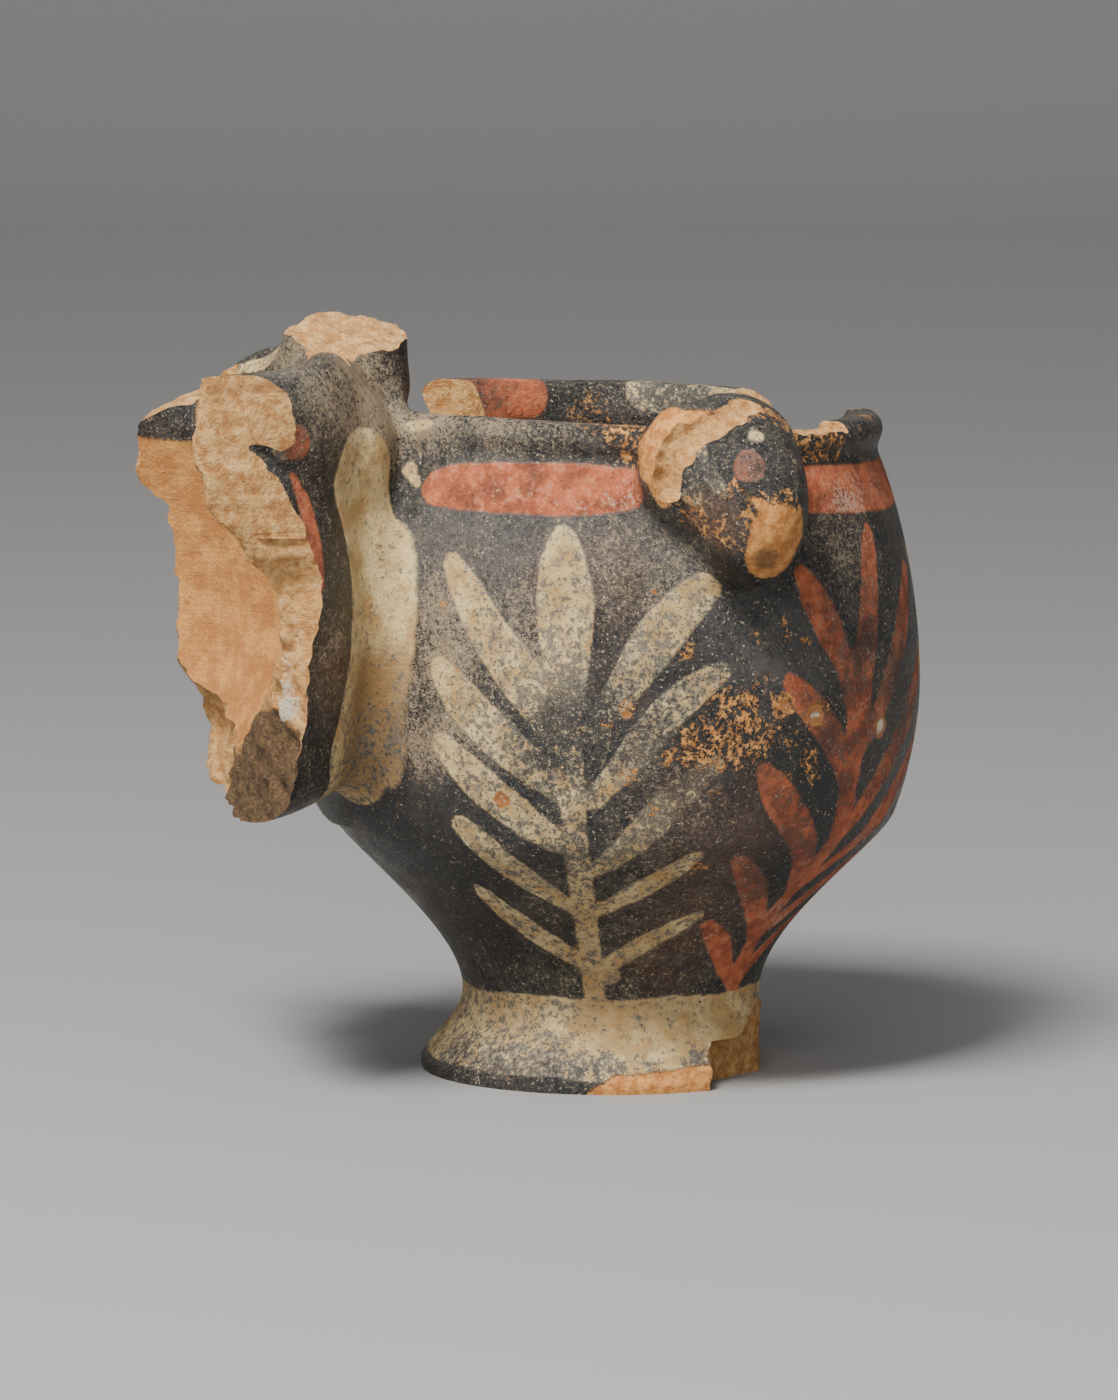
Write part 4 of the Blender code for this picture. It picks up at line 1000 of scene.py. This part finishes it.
class Shader:
    """A material whose nodes are added one by one."""

    def __init__(self, name):
        self.material = bpy.data.materials.new(name)
        self.material.use_nodes = True
        self.nodes = self.material.node_tree.nodes
        self.links = self.material.node_tree.links
        self.surface = self.nodes["Principled BSDF"]
        self.spot = self.add("ShaderNodeAttribute", attribute_name="spot").outputs["Vector"]

    def add(self, kind, inputs=(), **settings):
        node = self.nodes.new(kind)
        for key, value in settings.items():
            setattr(node, key, value)
        for key, value in dict(inputs).items():
            self.feed(node.inputs[key], value)
        return node

    def feed(self, socket, value):
        if isinstance(value, bpy.types.NodeSocket):
            self.links.new(value, socket)
        else:
            socket.default_value = value

    def read(self, name):
        return self.add("ShaderNodeAttribute", attribute_name=name).outputs["Fac"]

    def math(self, operation, a, b=0.0, c=0.0):
        return self.add("ShaderNodeMath", {0: a, 1: b, 2: c}, operation=operation).outputs[0]

    def total(self, *values):
        """The sum of several numbers."""
        result = values[0]
        for value in values[1:]:
            result = self.math("ADD", result, value)
        return result

    def times(self, a, b):
        return self.math("MULTIPLY", a, b)

    def sway(self, value, amount):
        """A noise value turned into a number that swings to both sides of 0."""
        return self.math("MULTIPLY_ADD", value, amount, -0.5 * amount)

    def stir(self, value, *noises):
        """A number moved by noises, given as pairs of a noise and how far it swings."""
        return self.total(value, *(self.sway(noise, amount) for noise, amount in noises))

    def weigh(self, *pairs):
        """The sum of numbers, each times its weight."""
        return self.total(*(self.times(value, weight) for value, weight in pairs))

    def step(self, value, low, high):
        """0 below low, 1 above high, or the other way round if low is above high."""
        inputs = {"Value": value, "From Min": low, "From Max": high}
        return self.add("ShaderNodeMapRange", inputs, interpolation_type="SMOOTHSTEP").outputs["Result"]

    def noise(self, per_mm, detail, roughness, shift=0.0, stretch=(1.0, 1.0, 1.0)):
        inputs = {"Vector": self.spot, "Location": (shift, -shift, 2 * shift), "Scale": stretch}
        place = self.add("ShaderNodeMapping", inputs).outputs[0]
        inputs = {"Vector": place, "Scale": per_mm, "Detail": detail, "Roughness": roughness}
        return self.add("ShaderNodeTexNoise", inputs).outputs["Fac"]

    def strands(self, value, width):
        """1 along the thin lines where a noise value crosses its middle, 0 away from them."""
        return self.step(self.math("ABSOLUTE", self.math("SUBTRACT", value, 0.5)), width, 0.0)

    def mix(self, factor, *colours):
        """Two colours mixed. A colour given as display values is made linear first."""
        a, b = [srgb(*c) if isinstance(c, tuple) else c for c in colours]
        return self.add("ShaderNodeMix", {0: factor, 6: a, 7: b}, data_type="RGBA").outputs[2]

    def ramp(self, value, low, high, first, second):
        """The first colour where value is low, the second where it is high."""
        return self.mix(self.step(value, low, high), first, second)

    def wash(self, colour, value, low, high, share, other):
        """Lays another colour over a colour where value is high, and at most by share."""
        return self.mix(self.times(self.step(value, low, high), share), colour, other)

    def scale(self, colour, amount):
        """A colour times a number."""
        return self.add("ShaderNodeVectorMath", {0: colour, "Scale": amount}, operation="SCALE").outputs[0]

    def level(self, factor, a, b):
        """A number that goes from a to b as factor goes from 0 to 1."""
        return self.add("ShaderNodeMix", {0: factor, 2: a, 3: b}, data_type="FLOAT").outputs[0]

    def finish(self, colour, roughness, height):
        """Sets the surface's colour, roughness and a bump whose height is in mm."""
        self.feed(self.surface.inputs["Base Color"], colour)
        self.feed(self.surface.inputs["Roughness"], roughness)
        bump = self.add("ShaderNodeBump", {"Height": height, "Distance": MM, "Strength": 1.0})
        self.feed(self.surface.inputs["Normal"], bump.outputs[0])
        return self.material


def skin_material():
    """Dark lustrous slip with cream and red paint, worn down to the clay."""
    s = Shader("slip_and_paint")
    broad = s.noise(0.08, 3, 0.55, 3)
    patch = s.noise(0.26, 5, 0.62, 11)
    mottle = s.noise(0.75, 5, 0.66, 19)
    speck = s.noise(1.7, 5, 0.76, 53)
    grain = s.noise(4.2, 3, 0.70, 71)
    dots = s.noise(2.6, 2, 0.60, 97)
    lace = s.noise(0.48, 9, 0.72, 23)
    veins = s.strands(s.noise(0.60, 7, 0.66, 37), 0.045)
    scratch = s.noise(1.0, 6, 0.70, 5, (0.45, 0.45, 1.9))
    # Dust, taken off in places, partly as painted shade under the side vessel and the near lug
    dust_and_shade = s.read("dust_and_shade")

    shade = s.stir(s.read("brown"), (broad, 1.1), (mottle, 0.6), (speck, 0.5))
    slip = s.ramp(shade, 0.05, 0.85, (17, 19, 18), (70, 48, 34))
    # Grey film over the slip, which on the near shoulder is painted sheen
    film_and_sheen = s.total(s.read("film_and_sheen"), s.times(dust_and_shade, 0.40))
    film_and_sheen = s.stir(film_and_sheen, (patch, 0.9), (scratch, 0.3), (speck, 0.6))
    slip = s.wash(slip, film_and_sheen, 0.06, 0.84, 0.62, (95, 92, 89))
    dust = s.stir(s.times(dust_and_shade, 0.82), (patch, 0.6), (mottle, 0.5), (speck, 2.0), (grain, 2.0))
    slip = s.wash(slip, dust, 0.35, 0.80, 0.78, (158, 138, 108))
    pits = s.stir(s.sway(speck, 1.0), (grain, 1.0))
    slip = s.wash(slip, pits, -0.06, -0.24, 0.85, (18, 18, 18))
    slip = s.wash(slip, s.stir(dots, (mottle, 0.3)), 0.65, 0.72, 0.80, (198, 184, 156))

    worn = s.read("worn")
    gone = s.step(s.stir(worn, (mottle, 0.9), (speck, 1.2), (grain, 0.4)), 0.26, 0.44)
    fringe = s.stir(s.sway(lace, 1.1), (speck, 1.0), (grain, 0.8))

    red_edge = s.step(s.total(s.read("red"), fringe), 0.20, -0.24)
    red_left = s.times(red_edge, s.level(gone, 0.97, 0.22))
    red = s.ramp(s.stir(patch, (mottle, 0.6)), 0.36, 0.66, (142, 70, 40), (184, 98, 60))
    red = s.wash(red, s.stir(mottle, (grain, 0.7)), 0.52, 0.70, 0.36, (204, 148, 112))
    rubbed = s.total(s.stir(speck, (patch, 0.7)), s.times(worn, -0.4))
    red = s.wash(red, rubbed, 0.40, 0.27, 0.66, (74, 52, 40))
    red = s.wash(red, s.stir(speck, (broad, 0.8)), 0.61, 0.69, 0.50, (196, 172, 150))
    colour = s.mix(red_left, slip, red)

    cream_edge = s.step(s.total(s.read("cream"), fringe), 0.22, -0.26)
    cream_left = s.times(cream_edge, s.level(gone, 1.0, 0.14))
    cream = s.ramp(s.stir(patch, (speck, 0.4)), 0.36, 0.64, (176, 146, 96), (216, 192, 140))
    cream = s.wash(cream, s.stir(lace, (patch, -0.5)), 0.52, 0.66, 0.60, (188, 142, 80))
    browning = s.stir(s.read("browned"), (patch, 1.1), (scratch, 0.5), (mottle, 1.1), (speck, 0.8))
    cream = s.wash(cream, browning, 0.10, 1.0, 0.80, (136, 102, 62))
    faded = s.stir(s.times(worn, 1.2), (mottle, 1.8), (speck, 1.5), (broad, 0.4))
    cream = s.wash(cream, faded, 0.08, 0.38, 0.80, (104, 105, 100))
    holes = s.stir(s.times(worn, 0.9), (speck, 2.0), (grain, 1.0), (mottle, 0.6))
    cream = s.wash(cream, holes, 0.21, 0.34, 0.88, (46, 45, 42))
    cream = s.wash(cream, dots, 0.34, 0.26, 0.55, (92, 78, 60))
    cream = s.scale(cream, s.level(s.step(grain, 0.30, 0.70), 0.84, 1.08))
    colour = s.mix(cream_left, colour, cream)

    bare = s.step(s.total(s.read("bare"), s.times(fringe, 1.6)), 0.12, -0.12)
    torn = s.stir(s.sway(lace, 0.9), (mottle, 0.6), (speck, 1.3))
    torn = s.total(torn, s.times(s.math("SUBTRACT", veins, 0.4), 0.20))
    flake = s.step(s.total(s.math("MINIMUM", s.read("flaked"), 0.43), torn), 0.42, 0.47)
    off = s.math("MAXIMUM", bare, flake)
    clay = s.ramp(mottle, 0.38, 0.62, (170, 108, 48), (210, 150, 82))
    clay = s.wash(clay, speck, 0.42, 0.30, 0.7, (112, 70, 38))
    inner = s.read("inner")
    wheel = s.ramp(s.stir(patch, (speck, 0.5)), 0.38, 0.66, (166, 108, 52), (200, 144, 76))
    fine = s.noise(1.0, 3, 0.60, 83, (0.10, 0.10, 1.7))
    wheel = s.wash(wheel, s.stir(fine, (mottle, 0.4)), 0.48, 0.64, 0.20, (132, 92, 52))
    wheel = s.wash(wheel, s.stir(speck, (grain, 0.5)), 0.61, 0.70, 0.80, (96, 64, 38))
    clay = s.mix(inner, clay, wheel)
    # Painted shade: a round dark spot on the bare clay of the near lug
    clay = s.wash(clay, s.stir(s.read("painted_shade_spot"), (speck, 0.7)), 0.25, 0.60, 0.75, (88, 58, 34))
    colour = s.mix(off, colour, clay)

    chip = s.stir(s.read("chip"), (lace, 1.6), (speck, 0.8))
    colour = s.ramp(chip, 0.50, 0.30, colour, (190, 124, 62))
    colour = s.ramp(chip, -0.10, -0.45, colour, (224, 200, 172))

    painted = s.math("MAXIMUM", cream_left, red_left)
    matte = s.math("MAXIMUM", painted, off)
    gloss = s.level(s.step(s.stir(patch, (speck, 0.9)), 0.34, 0.66), 0.24, 0.48)
    roughness = s.level(matte, gloss, 0.78)
    reliefs = [(painted, 0.06), (off, -0.20), (s.step(chip, 0.5, -0.6), -0.8), (grain, 0.17)]
    reliefs += [(speck, 0.30), (mottle, 0.20), (scratch, 0.10), (s.times(fine, inner), 0.10)]
    return s.finish(colour, roughness, s.weigh(*reliefs))


def break_material():
    """Torn clay: warm buff with pale grit, brown where the break is old."""
    s = Shader("broken_clay")
    squeeze = (1.0, 0.55, 1.0)
    broad = s.noise(0.16, 4, 0.6, 7)
    lumps = s.noise(0.7, 7, 0.72, 13, squeeze)
    crumb = s.noise(1.7, 5, 0.76, 29, squeeze)
    grit = s.noise(3.0, 3, 0.70, 43, squeeze)
    clay = s.ramp(lumps, 0.36, 0.62, (178, 122, 66), (230, 182, 116))
    clay = s.wash(clay, broad, 0.46, 0.66, 0.55, (204, 142, 78))
    clay = s.wash(clay, s.stir(grit, (lumps, 0.6)), 0.58, 0.72, 0.55, (240, 218, 178))
    clay = s.wash(clay, crumb, 0.42, 0.28, 0.80, (112, 74, 46))
    old = s.stir(s.read("brown_break"), (lumps, 0.9), (broad, 0.6), (crumb, 0.6))
    brown = s.ramp(s.stir(crumb, (grit, 0.6)), 0.40, 0.64, (66, 48, 30), (112, 86, 54))
    clay = s.wash(clay, old, 0.34, 0.56, 0.94, brown)
    crust = s.stir(s.read("crust"), (lumps, 1.6), (crumb, 1.0))
    clay = s.wash(clay, crust, 0.45, 0.80, 0.85, (214, 202, 180))
    return s.finish(clay, 0.88, s.weigh((lumps, 1.0), (crumb, 0.65), (grit, 0.25)))


def build_jar():
    """The jar's skin as one mesh, with its wall in slot 0 and its broken faces in slot 1."""
    side_centre = (-SIDE_DISTANCE, 0.0)
    shells = [
        turned("jar_shell", jar_outside()),
        turned("side_shell", side_outside(), side_centre),
    ]
    shells += joint_fill()
    lugs = lug("near_lug", -LUG_ANGLE, LUG_TOP, scarred=True) + lug("far_lug", LUG_ANGLE, FAR_LUG_TOP)
    jar = remeshed(joined("outside", shells + lugs), GRAIN)
    carve(jar, turned("jar_hollow", jar_hollow()))
    carve(jar, shifted_floor(settle(turned("side_hollow", side_hollow(), side_centre))))
    jar = remeshed(joined("painted_jar", [jar] + handle_root()), GRAIN)

    crease = 0.5 * (JAR.belly_radius + SIDE_DISTANCE - SIDE.belly_radius)
    soft = [(Vector((-ROOT_OFFSET, 0.0, ROOT_HEIGHT - ROOT_SOFT_DROP)), ROOT_SOFT)]
    for side in (-1, 1):
        for height in JOINT_SOFT_HEIGHTS:
            soft.append((Vector((-crease, side * JOINT_SOFT_SIDE, height)), JOINT_SOFT))
        for height in (LUG_BOTTOM, 0.5 * (LUG_TOP + LUG_BOTTOM)):
            ring = JAR.belly_radius
            place = (ring * math.cos(LUG_ANGLE), side * ring * math.sin(LUG_ANGLE), height)
            soft.append((Vector(place), LUG_SOFT))
    softened(jar, soft, SOFT_ROUNDS)
    even = jar.modifiers.new("even", "SMOOTH")
    even.factor = 0.5
    even.iterations = EVEN_ROUNDS
    count = sum(len(face.vertices) - 2 for face in jar.data.polygons)
    thin = jar.modifiers.new("thin", "DECIMATE")
    thin.ratio = min(1.0, TRIANGLES / count)
    settle(jar)

    jar.data.materials.clear()
    jar.data.materials.append(skin_material())
    jar.data.materials.append(break_material())
    carve(jar, slab("side_break", side_break, 170, 150, (-SIDE_DISTANCE, 0, 0)), 1)
    for cutter in (foot_chip, rim_gap, rim_chip, far_gap):
        carve(jar, cutter(), 1)
    top = Vector((-ROOT_OFFSET, 0.0, ROOT_HEIGHT - BREAK_ROUGHNESS))
    slope = Vector((0, 0, math.cos(ROOT_SLOPE))) + FRONT * math.sin(ROOT_SLOPE)
    width = 3.4 * ROOT_RADIUS
    carve(jar, flat_break("root_break", top, slope, RIGHT, width, width, 7), 1)
    carve(jar, lug_scar(), 1)
    carve(jar, slab("ground", flat_ground, 2, 2, (0, 0, -CUT_DEPTH)), 0)

    paint(jar.data)
    low, high = cad_box
    for vertex in jar.data.vertices:
        vertex.co.z += lean(vertex.co.x, vertex.co.z)
        vertex.co = [min(max(value, low[k]), high[k]) for k, value in enumerate(vertex.co)]
    jar.data.shade_smooth()
    jar.data.set_sharp_from_angle(angle=SHARP_ANGLE)
    return jar


jar = build_jar()
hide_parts("jar")
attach(jar, "root")


def stage():
    """A pale floor that sweeps up behind the jar, beyond where a camera would stand there."""
    front, back, rise, half = 2.6, -1.3, 1.6, 2.6
    bend, steps = 0.6, 24
    line = [(front, 0.0)]
    for i in range(steps + 1):
        turn = 0.5 * math.pi * i / steps
        line.append((back - bend * math.sin(turn), bend * (1 - math.cos(turn))))
    line.append((back - bend, rise))
    vertices = [on_break_axes(side, *place) for place in line for side in (-half, half)]
    faces = [(2 * i, 2 * i + 1, 2 * i + 3, 2 * i + 2) for i in range(len(line) - 1)]
    mesh = bpy.data.meshes.new("floor")
    mesh.from_pydata(vertices, [], faces)
    mesh.shade_smooth()
    floor = add_object("floor", mesh)
    material = bpy.data.materials.new("paper")
    material.use_nodes = True
    inputs = material.node_tree.nodes["Principled BSDF"].inputs
    inputs["Base Color"].default_value = (0.280, 0.279, 0.279, 1.0)
    inputs["Roughness"].default_value = 0.9
    inputs["Specular IOR Level"].default_value = 0.1
    mesh.materials.append(material)


def soft_light(name, place, aim, size, power, colour=(1.0, 1.0, 1.0)):
    data = bpy.data.lights.new(name, "AREA")
    data.shape = "RECTANGLE"
    data.size, data.size_y = size
    data.energy = power
    data.color = colour
    light = bpy.data.objects.new(name, data)
    bpy.context.scene.collection.objects.link(light)
    light.location = place
    light.rotation_euler = (aim - place).to_track_quat("-Z", "Y").to_euler()


def lights():
    """Soft lights over the jar and one over the far floor, in a dim room."""
    centre = Vector((0.0, 0.0, 0.05))
    far_floor = on_break_axes(0.0, -1.55, 0.0)
    warm, mild = (1.0, 0.97, 0.93), (1.0, 0.98, 0.96)
    soft_light("key", on_break_axes(-0.30, 0.57, 0.92), centre, (0.32, 0.32), 25.0, warm)
    soft_light("front", on_break_axes(-0.25, 1.40, 0.60), centre, (0.8, 0.8), 9.0, mild)
    soft_light("fill", on_break_axes(0.90, 0.90, 0.60), centre, (0.8, 0.8), 2.6, mild)
    soft_light("top", on_break_axes(-0.1, 0.1, 1.2), centre, (0.9, 0.7), 2.0)
    soft_light("back", on_break_axes(0.0, -1.5, 1.0), far_floor, (1.6, 0.6), 3.2)
    world = bpy.data.worlds.new("room")
    world.use_nodes = True
    inputs = world.node_tree.nodes["Background"].inputs
    inputs["Color"].default_value = (0.97, 0.98, 1.0, 1.0)
    inputs["Strength"].default_value = 0.16
    bpy.context.scene.world = world


def camera():
    data = bpy.data.cameras.new("camera")
    data.lens = 290.0
    data.sensor_width = 36.0
    data.clip_start = 0.05
    data.clip_end = 20.0
    eye = bpy.data.objects.new("camera", data)
    bpy.context.scene.collection.objects.link(eye)
    eye.location = on_break_axes(-0.0070, 1.5, 0.243)
    aim = on_break_axes(-0.0070, 0.0, 0.0495)
    eye.rotation_euler = (aim - eye.location).to_track_quat("-Z", "Y").to_euler()
    bpy.context.scene.camera = eye


stage()
lights()
camera()
